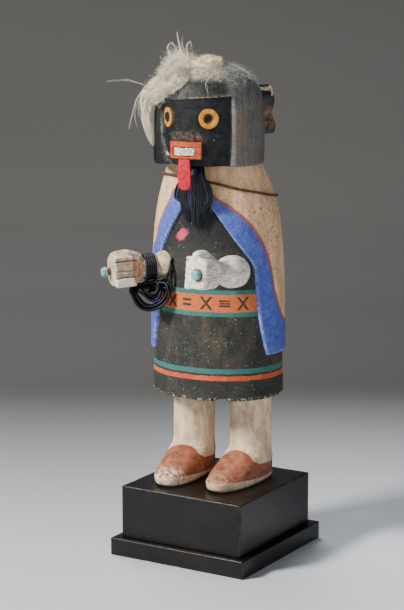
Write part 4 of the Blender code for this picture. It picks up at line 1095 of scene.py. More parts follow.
def build_head():
    near = radians(0.35)
    face_columns = np.linspace(FACE_RIGHT + near, FACE_LEFT - near, 96)
    rest = np.linspace(FACE_LEFT + near, 2 * pi + FACE_RIGHT - near, 216)
    theta = np.concatenate((face_columns, rest))
    low = np.concatenate(([246.0, 246.3, 247.2], np.linspace(248.4, 294.4, 48)))
    high = np.concatenate(([295.0, 295.05, 295.6, 296.6], np.linspace(298.0, 318.6, 34), [318.9, 319.0]))
    rows = np.concatenate((low, high))
    z, around = np.meshgrid(rows, theta, indexing="ij")
    wrapped = ((around + pi) % (2 * pi)) - pi
    below_fringe = np.arange(len(rows))[:, None] <= len(low)
    size = curve_at(HEAD, 1, z)
    rx, ry = size * 1.01, size * 0.955
    in_face = (wrapped > FACE_RIGHT) & (wrapped < FACE_LEFT)
    mask = in_face & below_fringe
    narrow = (1 - smoothstep(radians(-41.0), radians(-22.0), wrapped)) * (1 - smoothstep(252.0, 276.0, z))
    mask_r = curve_at(JAW, 1, z) - 2.2 * narrow
    rx = np.where(mask, mask_r, rx)
    ry = np.where(mask, mask_r, ry)
    to_edge = np.minimum(np.abs(wrapped - FACE_RIGHT), np.abs(wrapped - FACE_LEFT)) * 40.0
    to_groove = np.minimum(np.abs(wrapped - LOCK_GROOVES[0]), np.abs(wrapped - LOCK_GROOVES[1])) * 40.0
    under = 1 - smoothstep(290, 296, z)
    groove = 1.5 * np.exp(-((to_groove / 0.9) ** 2)) * under
    edge = 0.9 * np.exp(-((to_edge / 0.8) ** 2)) * (~mask) * under
    foot = 0.8 * (1 - smoothstep(246.0, 247.6, z)) ** 2
    x, y = head_xy(around, rx, ry)
    points = np.stack((x, y, z), -1)
    carve = 0.25 * fractal(points * (1, 1, 0.4), 12.0, 31) + 0.1 * fractal(points * (1, 1, 0.25), 3.0, 33)
    ragged = (
        0.9 * smoothstep(0.2, 0.7, fractal(points, 5.0, 35)) * (~mask) * np.exp(-((to_edge / 1.4) ** 2))
        * under
    )
    trim = carve - groove - edge - foot - ragged
    x, y = head_xy(around, rx + trim, ry + trim)
    lift = 0.075 * x * smoothstep(262, 295, z) * (1 - smoothstep(300, 316, z))
    points = np.stack((x, y, z + lift), -1)
    count, width = z.shape
    vertices = points.reshape(-1, 3)
    faces = grid_faces(count, width, closed=True)
    start = len(vertices)
    vertices = np.vstack((vertices, [(0, -HEAD_FORWARD, 246.0)], [(0, -HEAD_FORWARD, 319.1)]))
    faces += fan(list(range(width)), start, flip=True)
    faces += fan(list(range(start - width, start)), start + 1)
    strip = (
        smoothstep(0.0, 0.5, wrapped - FACE_LEFT + 0.2)
        * np.exp(-(((wrapped - radians(58.0)) * 40.0 / 5.2) ** 4))
    )
    strip = strip * (1 - smoothstep(282, 293, z))
    lip = in_face * np.exp(-(((z - 295.6) / 0.8) ** 2)) * smoothstep(-0.35, 0.3, wrapped)
    cheek = np.exp(-(((wrapped - FACE_RIGHT) * 36.0 / 3.4) ** 2)) * (1 - smoothstep(272, 290, z))
    marks = {"mask": mask, "around": wrapped * 38.0, "edge": strip, "lip": lip, "cheek": cheek}
    marks = {key: np.append(values.astype(float).ravel(), (0, 0)) for key, values in marks.items()}
    return add_mesh("head", vertices, faces, head_paint(), marks)


# Arms and hands: forms joined by a fine remesh, then carved by moving their points
HAND = ((0.10, 9.0, 10.2), (0.28, 9.6, 11.4), (0.86, 9.6, 11.6), (0.97, 9.0, 11.0), (1.0, 7.8, 9.8))
THUMB = {
    "right": (
        (0.02, 3.4, 2.6), (0.16, 4.2, 3.2), (0.45, 4.8, 3.9), (0.76, 4.6, 3.9), (0.92, 3.6, 3.0),
        (1.0, 1.6, 1.3),
    ),
    "left": (
        (0.02, 3.2, 2.4), (0.20, 4.0, 3.0), (0.50, 4.8, 3.8), (0.80, 4.6, 3.9), (0.95, 3.4, 3.0),
        (1.02, 1.4, 1.2),
    ),
}
FINGER_LINES = (5.1, 0.6, -4.2)


def ring_at(station, half_x, half_z, power=2.0, centre=(0.0, 0.0), sides=48):
    """Ring across the arm's axis, which runs along -Y."""
    angle = 2 * pi * np.arange(sides) / sides
    x = centre[0] + half_x * signed_power(np.cos(angle), power)
    z = centre[1] + half_z * signed_power(np.sin(angle), power)
    return np.stack((x, np.full(sides, -station), z), -1)


def lofted(rings):
    count, sides = len(rings), len(rings[0])
    vertices = np.vstack(rings)
    faces = grid_faces(count, sides, closed=True)
    faces += fan(list(range(sides)), len(vertices), flip=True)
    faces += fan(list(range((count - 1) * sides, count * sides)), len(vertices) + 1)
    vertices = np.vstack((vertices, [rings[0].mean(axis=0)], [rings[-1].mean(axis=0)]))
    return vertices, faces


def rounded_box(low, high, bevel):
    work = bmesh.new()
    low, high = Vector(low), Vector(high)
    place = Matrix.Translation((low + high) / 2) @ Matrix.Diagonal((*(high - low), 1.0))
    bmesh.ops.create_cube(work, size=1.0, matrix=place)
    bmesh.ops.bevel(work, geom=list(work.edges), offset=bevel, segments=3, profile=0.5, affect="EDGES")
    vertices = np.array([v.co[:] for v in work.verts])
    faces = [tuple(v.index for v in f.verts) for f in work.faces]
    work.free()
    return vertices, faces


def remeshed(parts, voxel, relax=3):
    """The union of closed parts as one even mesh: points, normals and faces, in millimetres."""
    vertices, faces = joined(parts)
    mesh = bpy.data.meshes.new("rough")
    mesh.from_pydata((vertices / 1000.0).tolist(), [], faces)
    work = bmesh.new()
    work.from_mesh(mesh)
    bmesh.ops.recalc_face_normals(work, faces=work.faces)
    work.to_mesh(mesh)
    work.free()
    rough = bpy.data.objects.new("rough", mesh)
    bpy.context.scene.collection.objects.link(rough)
    fuse = rough.modifiers.new("fuse", "REMESH")
    fuse.mode = "VOXEL"
    fuse.voxel_size = voxel / 1000.0
    ease = rough.modifiers.new("ease", "SMOOTH")
    ease.factor = 0.5
    ease.iterations = relax
    graph = bpy.context.evaluated_depsgraph_get()
    done = rough.evaluated_get(graph).to_mesh()
    count = len(done.vertices)
    points = np.empty(count * 3, np.float32)
    done.vertices.foreach_get("co", points)
    normals = np.empty(count * 3, np.float32)
    done.vertex_normals.foreach_get("vector", normals)
    faces = [tuple(face.vertices) for face in done.polygons]
    rough.evaluated_get(graph).to_mesh_clear()
    bpy.data.objects.remove(rough, do_unlink=True)
    bpy.data.meshes.remove(mesh)
    return points.reshape(-1, 3).astype(float) * 1000.0, normals.reshape(-1, 3).astype(float), faces


def hand_paint(side):
    paint = Paint("chalk_white_" + side, 0.82)
    crease_shade = paint.attribute("crease_shade")
    streak = paint.noise(2.4, 4.0, 0.65, stretch=(1.0, 0.4, 1.0))
    dull, pale, soil, dirty = (
        ("#a3947a", "#d8cab0", "#84694c", 0.7) if side == "right" else ("#d8d2c4", "#fbf7ec", "#a89a80", 0.45)
    )
    base = paint.mix(paint.step(streak, 0.5, 0.2), dull, pale)
    grime = paint.spread(0.54, 0.1, 4.5, 5.0, 0.7)
    base = paint.over(base, soil, grime, dirty)
    speck = paint.spread(0.62, 0.05, 0.9, 4.0, 0.75)
    base = paint.over(base, "#77664f", speck, 0.5)
    if side == "left":
        for stretch, turn in (((1.0, 0.22, 1.0), 0.0), ((0.3, 1.0, 0.6), 3.0)):
            line = paint.size_of(paint.minus(paint.noise(4.6 + turn, 1.5, 0.5, stretch), 0.5))
            base = paint.over(base, "#7d6c57", paint.below(line, 0.016, 0.012), 0.5)
    # Painted shade, mottled, on the finger faces of the right hand
    mottled_finger_shade = paint.both(paint.attribute("fingers"), paint.spread(0.46, 0.1, 2.0, 5.0, 0.75))
    base = paint.over(base, "#7d6d5a", mottled_finger_shade, 0.6)
    # Painted light: the lowest finger is painted paler than the others
    base = paint.over(base, "#e2d9c6", paint.attribute("painted_light"), 0.65)
    tone = paint.mix(paint.spread(0.5, 0.15, 2.8, 4.0), "#946540", "#cf9c72")
    base = paint.over(base, tone, paint.attribute("palm"), 0.9)
    # Painted shade in the finger grooves, the thumb crease, the fingertips and the wrist lines: painted dark
    # brown
    base = paint.mix(paint.step(crease_shade, 0.45, 0.3), base, "#4f3a2b")
    stain = paint.attribute("stain")
    base = paint.over(base, "#a7705c", stain, paint.spread(0.42, 0.1, 1.6, 4.0, 0.7))
    glue = paint.both(paint.attribute("glue"), paint.spread(0.44, 0.1, 1.4, 4.0, 0.7))
    base = paint.over(base, "#8c8345", glue, 0.85)
    paint.set("Base Color", base)
    relief = paint.plus(streak, paint.times(paint.noise(0.7, 4.0, 0.7), 0.6))
    paint.bump(relief, 0.3, 0.55)
    return paint.material


def build_arm(side):
    """Arm in its own frame: the axis runs along -Y, the palm is on the inner side."""
    wrist, length, thumb_level = ARM[side][5:]
    inward = -1.0 if side == "left" else 1.0
    table = [(s, wrist if r is None else r) for s, r in FOREARM[side]]
    stations = np.linspace(table[0][0], WRIST_TO, 40)
    rings = [ring_at(s, r, r) for s, r in zip(stations, curve_at(table, 1, stations))]
    for share, half_x, half_z in HAND:
        rings.append(ring_at(WRIST_TO + share * length, half_x, half_z, 3.2))
    parts = [lofted(rings)]
    low_x, high_x = sorted((inward * 6.0, inward * 10.9))
    edges = (11.3,) + FINGER_LINES + (-11.3,)
    for index in range(4):
        top, bottom = edges[index] + 0.15, edges[index + 1] - 0.15
        start = WRIST_TO + (0.34 if index < 3 else 0.27) * length
        stop = WRIST_TO + 0.95 * length
        if side == "left":
            top, bottom = edges[index] + 0.6, edges[index + 1] - 0.6
        parts.append(
            rounded_box((low_x, -stop, bottom), (high_x + (0.3 if index == 3 else 0.0), -start, top), 1.1)
        )
    thumb = []
    for share, half_x, half_z in THUMB[side]:
        level = thumb_level - 3.8 + 4.0 * min(1.0, share / 0.5) ** 0.8 - 0.6 * max(0.0, share - 0.8)
        thumb.append(ring_at(WRIST_TO + share * length, half_x, half_z, 2.2, (inward * 1.5, level), 28))
    parts.append(lofted(thumb))
    points, normals, faces = remeshed(parts, 0.6, 3)
    station = -points[:, 1]
    share = (station - WRIST_TO) / length
    x = points[:, 0] * inward
    z = points[:, 2]
    on_hand = smoothstep(0.12, 0.2, share)
    move = np.zeros(len(points))
    # Painted shade: the grooves and creases carved below are also marked to be painted dark
    crease_shade = np.zeros(len(points))
    inner_side = smoothstep(7.5, 9.8, x)
    for line, strength in zip(FINGER_LINES, (0.15, 0.6, 1.0) if side == "right" else (0.2, 0.25, 0.3)):
        bent = line + 0.16 * np.sin(station * 0.45 + line)
        near = np.exp(-(((z - bent) / 0.42) ** 2)) * inner_side * smoothstep(0.28, 0.36, share)
        near = near * (1 - smoothstep(0.93, 1.0, share) * 0.8)
        move -= 0.75 * strength * near
        crease_shade = np.maximum(crease_shade, strength * near)
    hollow = np.exp(-(((share - 0.18) / 0.155) ** 4) - ((z + 1.0) / 8.6) ** 4) * smoothstep(1.0, 8.0, x)
    move -= 3.9 * hollow
    tips = np.exp(-(((share - 0.33) / 0.03) ** 2)) * inner_side * (np.abs(z) < 11.0)
    crease_shade = np.maximum(crease_shade, 0.25 * tips * (z > FINGER_LINES[2]))
    ends = np.exp(-(((share - 0.255) / 0.02) ** 2)) * inner_side * (np.abs(z + 7.4) < 3.2)
    crease_shade = np.maximum(crease_shade, 0.8 * ends)
    crease = (
        np.exp(-(((z - (thumb_level - 3.6)) / 0.55) ** 2)) * smoothstep(0.10, 0.3, share)
        * smoothstep(-3.5, 0.0, x)
    )
    crease = crease * (1 - smoothstep(0.92, 1.0, share))
    move -= 0.8 * crease
    crease_shade = np.maximum(crease_shade, 0.9 * crease)
    nail = (
        np.exp(-(((share - 0.8) / 0.13) ** 4) - ((points[:, 0] * inward - 1.5) / 3.0) ** 4)
        * (z > thumb_level)
    )
    move -= 0.35 * nail
    rim = (
        np.exp(-((np.sqrt(((share - 0.8) / 0.14) ** 2 + ((x - 1.5) / 3.2) ** 2) - 1.0) / 0.14) ** 2)
        * (z > thumb_level)
    )
    move -= 0.22 * rim
    crease_shade = np.maximum(crease_shade, 0.4 * rim)
    front = smoothstep(0.97, 1.0, share)
    lines = np.zeros(len(points))
    round_arm = np.arctan2(z, points[:, 0])
    for index in range(9):
        at = WRIST_TO - 8.5 + 1.45 * index + 0.5 * np.sin(round_arm * 2 + index * 1.7)
        lines = np.maximum(
            lines, np.exp(-(((station - at) / 0.28) ** 2)) * (0.5 + 0.5 * sin(2.4 * index)) ** 0.5,
        )
    lines = lines * smoothstep(WRIST_TO - 10.0, WRIST_TO - 7.0, station) * (1 - smoothstep(0.2, 0.32, share))
    if side == "left":
        move -= 0.42 * lines
        crease_shade = np.maximum(crease_shade, 0.6 * lines)
    grain = points * (1.0, 0.3, 1.0)
    move += 0.16 * fractal(grain + 40 * inward, 5.0, 61) + 0.10 * fractal(points, 1.8, 63, 2)
    points = points + normals * move[:, None]
    palm = np.clip(hollow * 2.2, 0, 1)
    heel = smoothstep(3.0, 8.0, x) * (1 - smoothstep(0.24, 0.3, share)) * on_hand
    palm = np.maximum(palm, 0.35 * heel)
    fingers = (
        inner_side * smoothstep(0.3, 0.36, share) * (1 - smoothstep(0.9, 0.97, share)) * (z > FINGER_LINES[2])
    )
    # Painted light on the lowest finger
    painted_light = inner_side * smoothstep(0.26, 0.3, share) * (z < FINGER_LINES[2] - 0.4)
    glue = np.zeros(len(points))
    if side == "left":
        stain = front * np.exp(-(((x + 6.2) / 2.6) ** 2) - ((z + 2.4) / 3.5) ** 2)
        stain = np.maximum(stain, front * 0.5 * np.exp(-(((z + 7.0) / 1.6) ** 2)))
        glue = front * np.exp(-((np.hypot(x + 2.6, z + 0.2) / 5.0) ** 4))
        palm *= 0.4
        fingers *= 0.0
    else:
        stain = front * 0.7 * np.exp(-((x / 4.6) ** 2) - (z / 4.2) ** 2)
        # Painted shadow under the thumb, laid on in the palm's warm brown
        shadow_under_thumb = np.exp(-(((z - (thumb_level - 6.0)) / 2.2) ** 2)) * smoothstep(3.0, 8.0, x)
        palm = np.maximum(
            palm, 0.6 * shadow_under_thumb * smoothstep(0.1, 0.3, share) * (1 - smoothstep(0.6, 0.85, share)),
        )
    marks = {
        "crease_shade": crease_shade, "palm": palm, "stain": stain, "glue": glue, "fingers": fingers, "painted_light": painted_light,
    }
    return add_mesh(side + "_arm_carved", points, faces, hand_paint(side), marks, matrix=arm_matrix(side))


def build_stone(side):
    """Turquoise on the front of the fist: the right one on a brown peg, the left one in glue."""
    base = WRIST_TO + ARM[side][6] + 0.15
    lift, centre = (2.8, (0.0, 0.0)) if side == "right" else (0.0, (1.5, -0.7))
    profile = (
        (3.55, -0.9), (3.75, 0.2), (3.8, 1.4), (3.72, 2.4), (3.35, 3.3), (2.6, 3.95), (1.5, 4.25),
        (0.4, 4.35),
    )
    fine = np.linspace(0, len(profile) - 1, 26)
    p = np.array(profile)
    radius = np.interp(fine, range(len(p)), p[:, 0])
    level = np.interp(fine, range(len(p)), p[:, 1])
    level = np.where(level < 0.0, 0.2 * level, level) if side == "right" else level
    rings = [ring_at(base + lift + v, r, r * 0.97, 2.0, centre, 40) for r, v in zip(radius, level)]
    vertices, faces = lofted(rings)
    vertices = vertices + 0.12 * np.stack([fractal(vertices, 2.4, s, 2) for s in (71, 72, 73)], -1)
    paint = Paint("turquoise_" + side + "_stone", 0.3, Specular_IOR_Level=0.55)
    deep, pale = ("#467f76", "#8db8ab") if side == "right" else ("#2f8f8c", "#62c4bd")
    colour = paint.mix(paint.spread(0.5, 0.2, 1.8, 4.0, 0.6), deep, pale)
    vein = paint.below(paint.size_of(paint.minus(paint.noise(3.2, 4.0, 0.6), 0.5)), 0.018, 0.012)
    colour = paint.over(colour, "#3d4a3c", vein, 0.7)
    paint.set("Base Color", colour)
    paint.bump(paint.noise(0.8, 3.0), 0.05, 0.4)
    stone = add_mesh("turquoise_stone_" + side, vertices, faces, paint.material, matrix=arm_matrix(side))
    fit_piece(stone, ("turquoise_" + side,))
    angle = np.linspace(0, 2 * pi, 72, endpoint=False)
    if side == "right":
        rings = []
        for v, r in ((-1.2, 3.4), (0.0, 3.5), (0.5, 3.0), (1.6, 2.7), (2.4, 2.8), (2.95, 3.2)):
            ring = ring_at(base + v, r, r * 0.97, 2.0, centre, 40)
            rings.append(ring * (1 + 0.05 * fractal(ring, 2.0, 74)[:, None] * (1.0, 0.0, 1.0)))
        vertices, faces = lofted(rings)
    else:
        ring_r = 4.0 + 0.16 * np.sin(7 * angle) + 0.1 * np.sin(13 * angle + 1.0)
        line = np.stack((
            centre[0] + ring_r * np.cos(angle), np.full(72, -(base + 0.1)),
            centre[1] + 0.97 * ring_r * np.sin(angle),
        ), -1)
        vertices, faces = tube(line, 0.55, 10, closed=True)
    glue = Paint("glue_" + side, 0.5)
    glue.set("Base Color", glue.mix(glue.noise(1.2, 3.0), "#2e2016", "#5f4426"))
    glue.bump(glue.noise(0.6, 3.0), 0.1, 0.6)
    seat = add_mesh("stone_seat_" + side, vertices, faces, glue.material, matrix=arm_matrix(side))
    fit_piece(seat, ())


# What is fitted on the mask
def face_matrix(angle, radius, height):
    """Frame on the mask's surface: +Z outward, +Y up, +X toward the figure's left."""
    turned = angle + HEAD_TURN
    place = Matrix.Translation((
        radius * sin(turned) / 1000, (-radius * cos(turned) - HEAD_FORWARD) / 1000, height / 1000,
    ))
    return FIGURE_PLACE @ place @ Matrix.Rotation(turned, 4, "Z") @ Matrix.Rotation(pi / 2, 4, "X")


def disc_grid(profile, columns, wave=None):
    """A turned form about Z from (radius, height) pairs, its first ring closed by a flat base."""
    p = np.array(profile, float)
    angle = 2 * pi * np.arange(columns) / columns
    radius = p[:, 0][:, None] * np.ones((1, columns))
    level = p[:, 1][:, None] * np.ones((1, columns))
    if wave is not None:
        radius = radius * (1 + wave(angle)[None, :])
    vertices = np.stack((radius * np.cos(angle), radius * np.sin(angle), level), -1).reshape(-1, 3)
    faces = grid_faces(len(p), columns, closed=True)
    start = len(vertices)
    vertices = np.vstack((vertices, [(0, 0, p[0, 1])], [(0, 0, p[-1, 1])]))
    faces += fan(list(range(columns)), start, flip=True)
    faces += fan(list(range(start - columns, start)), start + 1)
    return vertices, faces


def fine_profile(points, spacing=0.16):
    line = spline_through([(a, b, 0.0) for a, b in points], spacing)
    return line[:, :2]


def build_eye(side):
    sign = -1.0 if side == "right" else 1.0
    outline = (
        (7.0, -1.6), (7.4, -0.4), (7.45, 1.0), (7.2, 1.7), (6.6, 2.0), (5.4, 2.08), (4.4, 2.0), (3.9, 1.7),
        (3.2, 0.9), (2.5, 0.1), (2.2, -0.3), (1.2, -0.5), (0.3, -0.5),
    )
    vertices, faces = disc_grid(
        fine_profile(outline), 96, lambda a: 0.014 * np.sin(3 * a + sign) + 0.008 * np.sin(7 * a),
    )
    vertices[:, 2] += 0.09 * fractal(vertices, 2.2, 81 + sign, 2)
    # the seat follows the round of the mask
    vertices[:, 2] += np.where(vertices[:, 2] < 0, -(vertices[:, 0] ** 2) / (2 * MASK_RADIUS), 0)
    paint = Paint("ochre_ring_" + side, 0.5, Coat_Weight=0.06, Coat_Roughness=0.3, Specular_IOR_Level=0.3)
    radius = paint.attribute("radius")
    gold = paint.mix(paint.spread(0.48, 0.14, 2.8, 4.0, 0.65), "#94590f", "#c88d22")
    wear = paint.spread(0.57, 0.07, 1.5, 5.0, 0.75)
    gold = paint.over(gold, "#8a5218", wear, 0.6)
    shine = paint.spread(0.66, 0.05, 1.0, 4.0, 0.7)
    gold = paint.over(gold, "#e2b75c", shine, 0.4)
    rim = paint.step(radius, paint.plus(6.9, paint.times(paint.noise(2.0, 3.0), 0.5)), 0.25)
    gold = paint.over(gold, "#5a3f18", rim, 0.8)
    cone = paint.below(radius, paint.plus(3.75, paint.times(paint.noise(1.5, 3.0), 0.4)), 0.3)
    gold = paint.over(gold, paint.mix(paint.noise(1.0, 3.0), "#3a2210", "#7a4c1c"), cone, 0.9)
    hole = paint.below(radius, paint.plus(2.1, paint.times(paint.noise(1.5, 3.0), 0.4)), 0.25)
    gold = paint.mix(hole, gold, "#0c0b0c")
    paint.set("Base Color", gold)
    paint.bump(paint.noise(0.7, 4.0, 0.7), 0.1, 0.5)
    marks = {"radius": np.hypot(vertices[:, 0], vertices[:, 1])}
    place = face_matrix(sign * EYE_ANGLE, MASK_RADIUS, 281.3)
    if side == "right":
        place = (
            face_matrix(radians(-28.6), MASK_RADIUS - 1.5, 281.3) @ Matrix.Rotation(radians(-11.0), 4, "Y")
        )
    eye = add_mesh("eye_ring_" + side, vertices, faces, paint.material, marks, matrix=place)
    fit_piece(eye, ("eye_" + side,))


def bent_plate(width, height, front, columns, rows):
    """Grid over a plate that follows the mask's round; front gives its height over the mask."""
    u, v = np.meshgrid(
        np.linspace(-width / 2, width / 2, columns), np.linspace(-height / 2, height / 2, rows),
    )
    level = front(u, v)
    radius = MASK_RADIUS + level
    angle = u / (MASK_RADIUS + 4.0) + HEAD_TURN
    return u, v, np.stack((radius * np.sin(angle), -radius * np.cos(angle) - HEAD_FORWARD, 258.2 + v), -1)


def closed_plate(outer, inner):
    """Closed solid between two grids of points."""
    rows, columns = outer.shape[:2]
    vertices = np.vstack((outer.reshape(-1, 3), inner.reshape(-1, 3)))
    total = rows * columns
    faces = grid_faces(rows, columns) + [tuple(reversed(f)) for f in grid_faces(rows, columns, first=total)]
    for r in (0, rows - 1):
        for c in range(columns - 1):
            a = r * columns + c
            faces.append((a, a + 1, a + 1 + total, a + total))
    for c in (0, columns - 1):
        for r in range(rows - 1):
            a = r * columns + c
            faces.append((a, a + columns, a + columns + total, a + total))
    return vertices, faces


def build_mouth():
    width, height = 26.2, 12.4
    left_frame, right_frame, top_bar, low_bar = 2.6, 4.9, 3.7, 1.8

    def teeth_area(u, v):
        du = np.where(u < 0, u + width / 2 - left_frame, width / 2 - right_frame - u)
        dv = np.where(v > 0, height / 2 - top_bar - v, v + height / 2 - low_bar)
        return np.minimum(du, dv) + 0.8 * fractal(np.stack((u, v, 0 * u), -1), 3.4, 99)

    def front(u, v):
        inside = teeth_area(u, v)
        edge = np.minimum(width / 2 - np.abs(u), height / 2 - np.abs(v))
        here = np.stack((u, v, 0 * u), -1)
        level = (
            4.0 - 0.55 * (1 - smoothstep(0.0, 0.8, edge)) ** 2 - 0.5
            * smoothstep(0.35, 0.8, fractal(here, 4.0, 90))
        )
        level = level - 1.7 * smoothstep(-0.15, 0.3, inside)
        lumps = 0.6 * fractal(here * (1.0, 0.6, 1.0), 3.6, 91) + 0.4 * fractal(here, 1.3, 92, 2)
        return level + smoothstep(0.35, 0.9, inside) * (1.1 + lumps) + 0.08 * fractal(here, 2.0, 95)

    u, v, outer = bent_plate(width, height, front, 116, 58)
    _, _, inner = bent_plate(width - 0.2, height - 0.2, lambda a, b: -1.0 + 0 * a, 116, 58)
    vertices, faces = closed_plate(outer, inner)
    inside = teeth_area(u, v)
    here = np.stack((u, v, 0 * u), -1)
    crack = (
        np.exp(-((fractal(here * (1.0, 0.35, 1.0), 4.4, 97) / 0.07) ** 2))
        * smoothstep(0.3, 0.7, fractal(here, 6.0, 98) + 0.5)
    )
    # Painted shade: the recess between the teeth and the frame is painted near black, as are the cracks in
    # the teeth
    border = smoothstep(-0.1, 0.15, inside) * (1 - smoothstep(0.35, 0.65, inside))
    crack_and_gap_shade = np.maximum(0.85 * crack * smoothstep(0.1, 0.4, inside), border)
    marks = {
        "teeth": np.tile(smoothstep(-0.1, 0.3, inside).ravel(), 2),
        "crack_and_gap_shade": np.tile(crack_and_gap_shade.ravel(), 2),
    }
    paint = Paint("mouth_paint", 0.6, Specular_IOR_Level=0.25)
    red = paint.mix(paint.spread(0.5, 0.2, 3.0, 4.0, 0.65), "#8f351a", "#bb522c")
    chipped = paint.spread(0.64, 0.05, 1.4, 5.0, 0.75)
    red = paint.over(red, "#dca384", chipped, 0.5)
    dirty = paint.spread(0.6, 0.06, 2.2, 5.0, 0.7)
    red = paint.over(red, "#8c3a22", dirty, 0.55)
    white = paint.mix(paint.spread(0.5, 0.15, 1.6, 4.0, 0.7), "#85817b", "#ebe6dd")
    crack = paint.spread(0.64, 0.04, 1.1, 5.0, 0.8)
    white = paint.over(white, "#3b3a3c", crack, 0.8)
    # Near black for the cracks and for the painted shade in the recess round the teeth
    white = paint.mix(paint.step(paint.attribute("crack_and_gap_shade"), 0.5, 0.15), white, "#161516")
    colour = paint.mix(paint.step(paint.attribute("teeth"), 0.5, 0.2), red, white)
    paint.set("Base Color", colour)
    paint.bump(paint.noise(0.8, 4.0, 0.7), 0.2, 0.6)
    mouth = add_mesh("mouth_carved", vertices, faces, paint.material, marks)
    fit_piece(mouth, ("mouth",))


def build_tongue():
    rows, columns = 60, 26
    s = np.linspace(0, 1, rows)[:, None] * np.ones((1, columns))
    c = np.linspace(-1, 1, columns)[None, :] * np.ones((rows, 1))
    half = 4.4 + 0.65 * smoothstep(0.0, 0.55, s)
    tip = np.sqrt(np.clip(1 - ((s - 0.80) / 0.20).clip(0, 1) ** 2, 0, 1))
    x = half * c * np.where(s > 0.80, np.maximum(tip, 0.03), 1.0)
    x = x + 0.4 * np.sin(s * 4.0)
    z = -23.3 * s
    bow = 1.3 * np.sin(pi * s ** 0.8) - 0.9 * s
    cup = -0.45 * c ** 2
    here = np.stack((x, 0 * x, z), -1)
    ripple = 0.16 * fractal(here, 4.0, 101)
    angle = radians(-1.5) + HEAD_TURN
    radius = MASK_RADIUS + 2.0
    centre = np.array((radius * sin(angle), -radius * cos(angle) - HEAD_FORWARD, 252.2))

    def sheet(offset):
        depth = -(bow + cup + ripple + offset)
        local = np.stack((x, depth, z), -1)
        turned = np.stack((
            local[..., 0] * cos(HEAD_TURN) - local[..., 1] * sin(HEAD_TURN),
            local[..., 0] * sin(HEAD_TURN) + local[..., 1] * cos(HEAD_TURN), local[..., 2],
        ), -1)
        return turned + centre

    vertices, faces = closed_plate(sheet(0.85), sheet(-0.65))
    paint = Paint("tongue_leather", 0.65, Specular_IOR_Level=0.2)
    red = paint.mix(paint.spread(0.5, 0.2, 3.0, 4.0, 0.6), "#a01122", "#c62236")
    worn = paint.spread(0.62, 0.06, 1.2, 5.0, 0.75)
    red = paint.over(red, "#d44a58", worn, 0.3)
    paint.set("Base Color", red)
    paint.bump(paint.noise(0.6, 5.0, 0.75), 0.22, 0.7)
    tongue = add_mesh("tongue_strip", vertices, faces, paint.material)
    fit_piece(tongue, ("tongue",))


def build_beard():
    """Thick strands tied under the chin, which hang over the cord in front of the chest."""
    parts, tone = [], []
    count = 210
    for index in range(count):
        share = (index + 0.5) / count
        spread = 2 * ((index * 0.61803) % 1.0) - 1
        depth = ((index * 0.7548) % 1.0)
        top_x = 7.5 * spread + RANDOM.normal(0, 0.5)
        low_x = 12.6 * spread + RANDOM.normal(0, 1.2) - 1.0
        tip_z = 203.5 + 9.0 * abs(spread) ** 2 + RANDOM.normal(0, 3.0) + (6.0 if spread < -0.75 else 0.0)
        tip_x = low_x * (0.72 - 0.35 * (1 - share) * abs(spread)) + RANDOM.normal(0, 1.0)
        front = -42.8 - 2.9 * depth * (1 - 0.55 * spread ** 2)
        wave = RANDOM.normal(0, 0.7, 3)
        line = [
            (top_x * 0.75, -41.5 - 1.5 * depth, 247.0),
            (top_x + wave[0] * 0.3, front - 1.6, 240.0),
            (low_x * 0.86 + wave[0], front - 1.2, 230.0),
            (low_x + wave[1], front - 0.6, 221.0),
            ((low_x + tip_x) / 2 + wave[2], front + 0.2, 0.5 * (221.0 + tip_z)),
            (tip_x, front + 1.0 + 0.03 * (212 - tip_z), tip_z),
        ]
        points = spline_through(line, 1.5)
        thick = 0.42 + 0.22 * RANDOM.random()
        along = np.linspace(0, 1, len(points))
        taper = (
            np.clip(0.75 + 0.5 * np.sin(pi * along), 0, 1.2)
            * np.where(along > 0.8, 1 - 0.85 * (along - 0.8) / 0.2, 1)
        )
        v, f = tube(points, thick, 5, taper=taper)
        parts.append((v, f))
        tone.append(np.full(len(v), RANDOM.random()))
    vertices, faces = joined(parts)
    paint = Paint("black_strands_blue_sheen", 0.48, Specular_IOR_Level=0.4)
    shade = paint.attribute("tone")
    # Black strands; those with a high tone are painted bluer, a painted blue sheen on the strands
    colour = paint.mix(paint.step(shade, 0.72, 0.2), "#050609", "#12162a")
    colour = paint.mix(paint.step(shade, 0.88, 0.06), colour, "#262d55")
    paint.set("Base Color", colour)
    beard = add_mesh("beard_strands", vertices, faces, paint.material, {"tone": np.concatenate(tone)})
    fit_piece(beard, ("beard",))


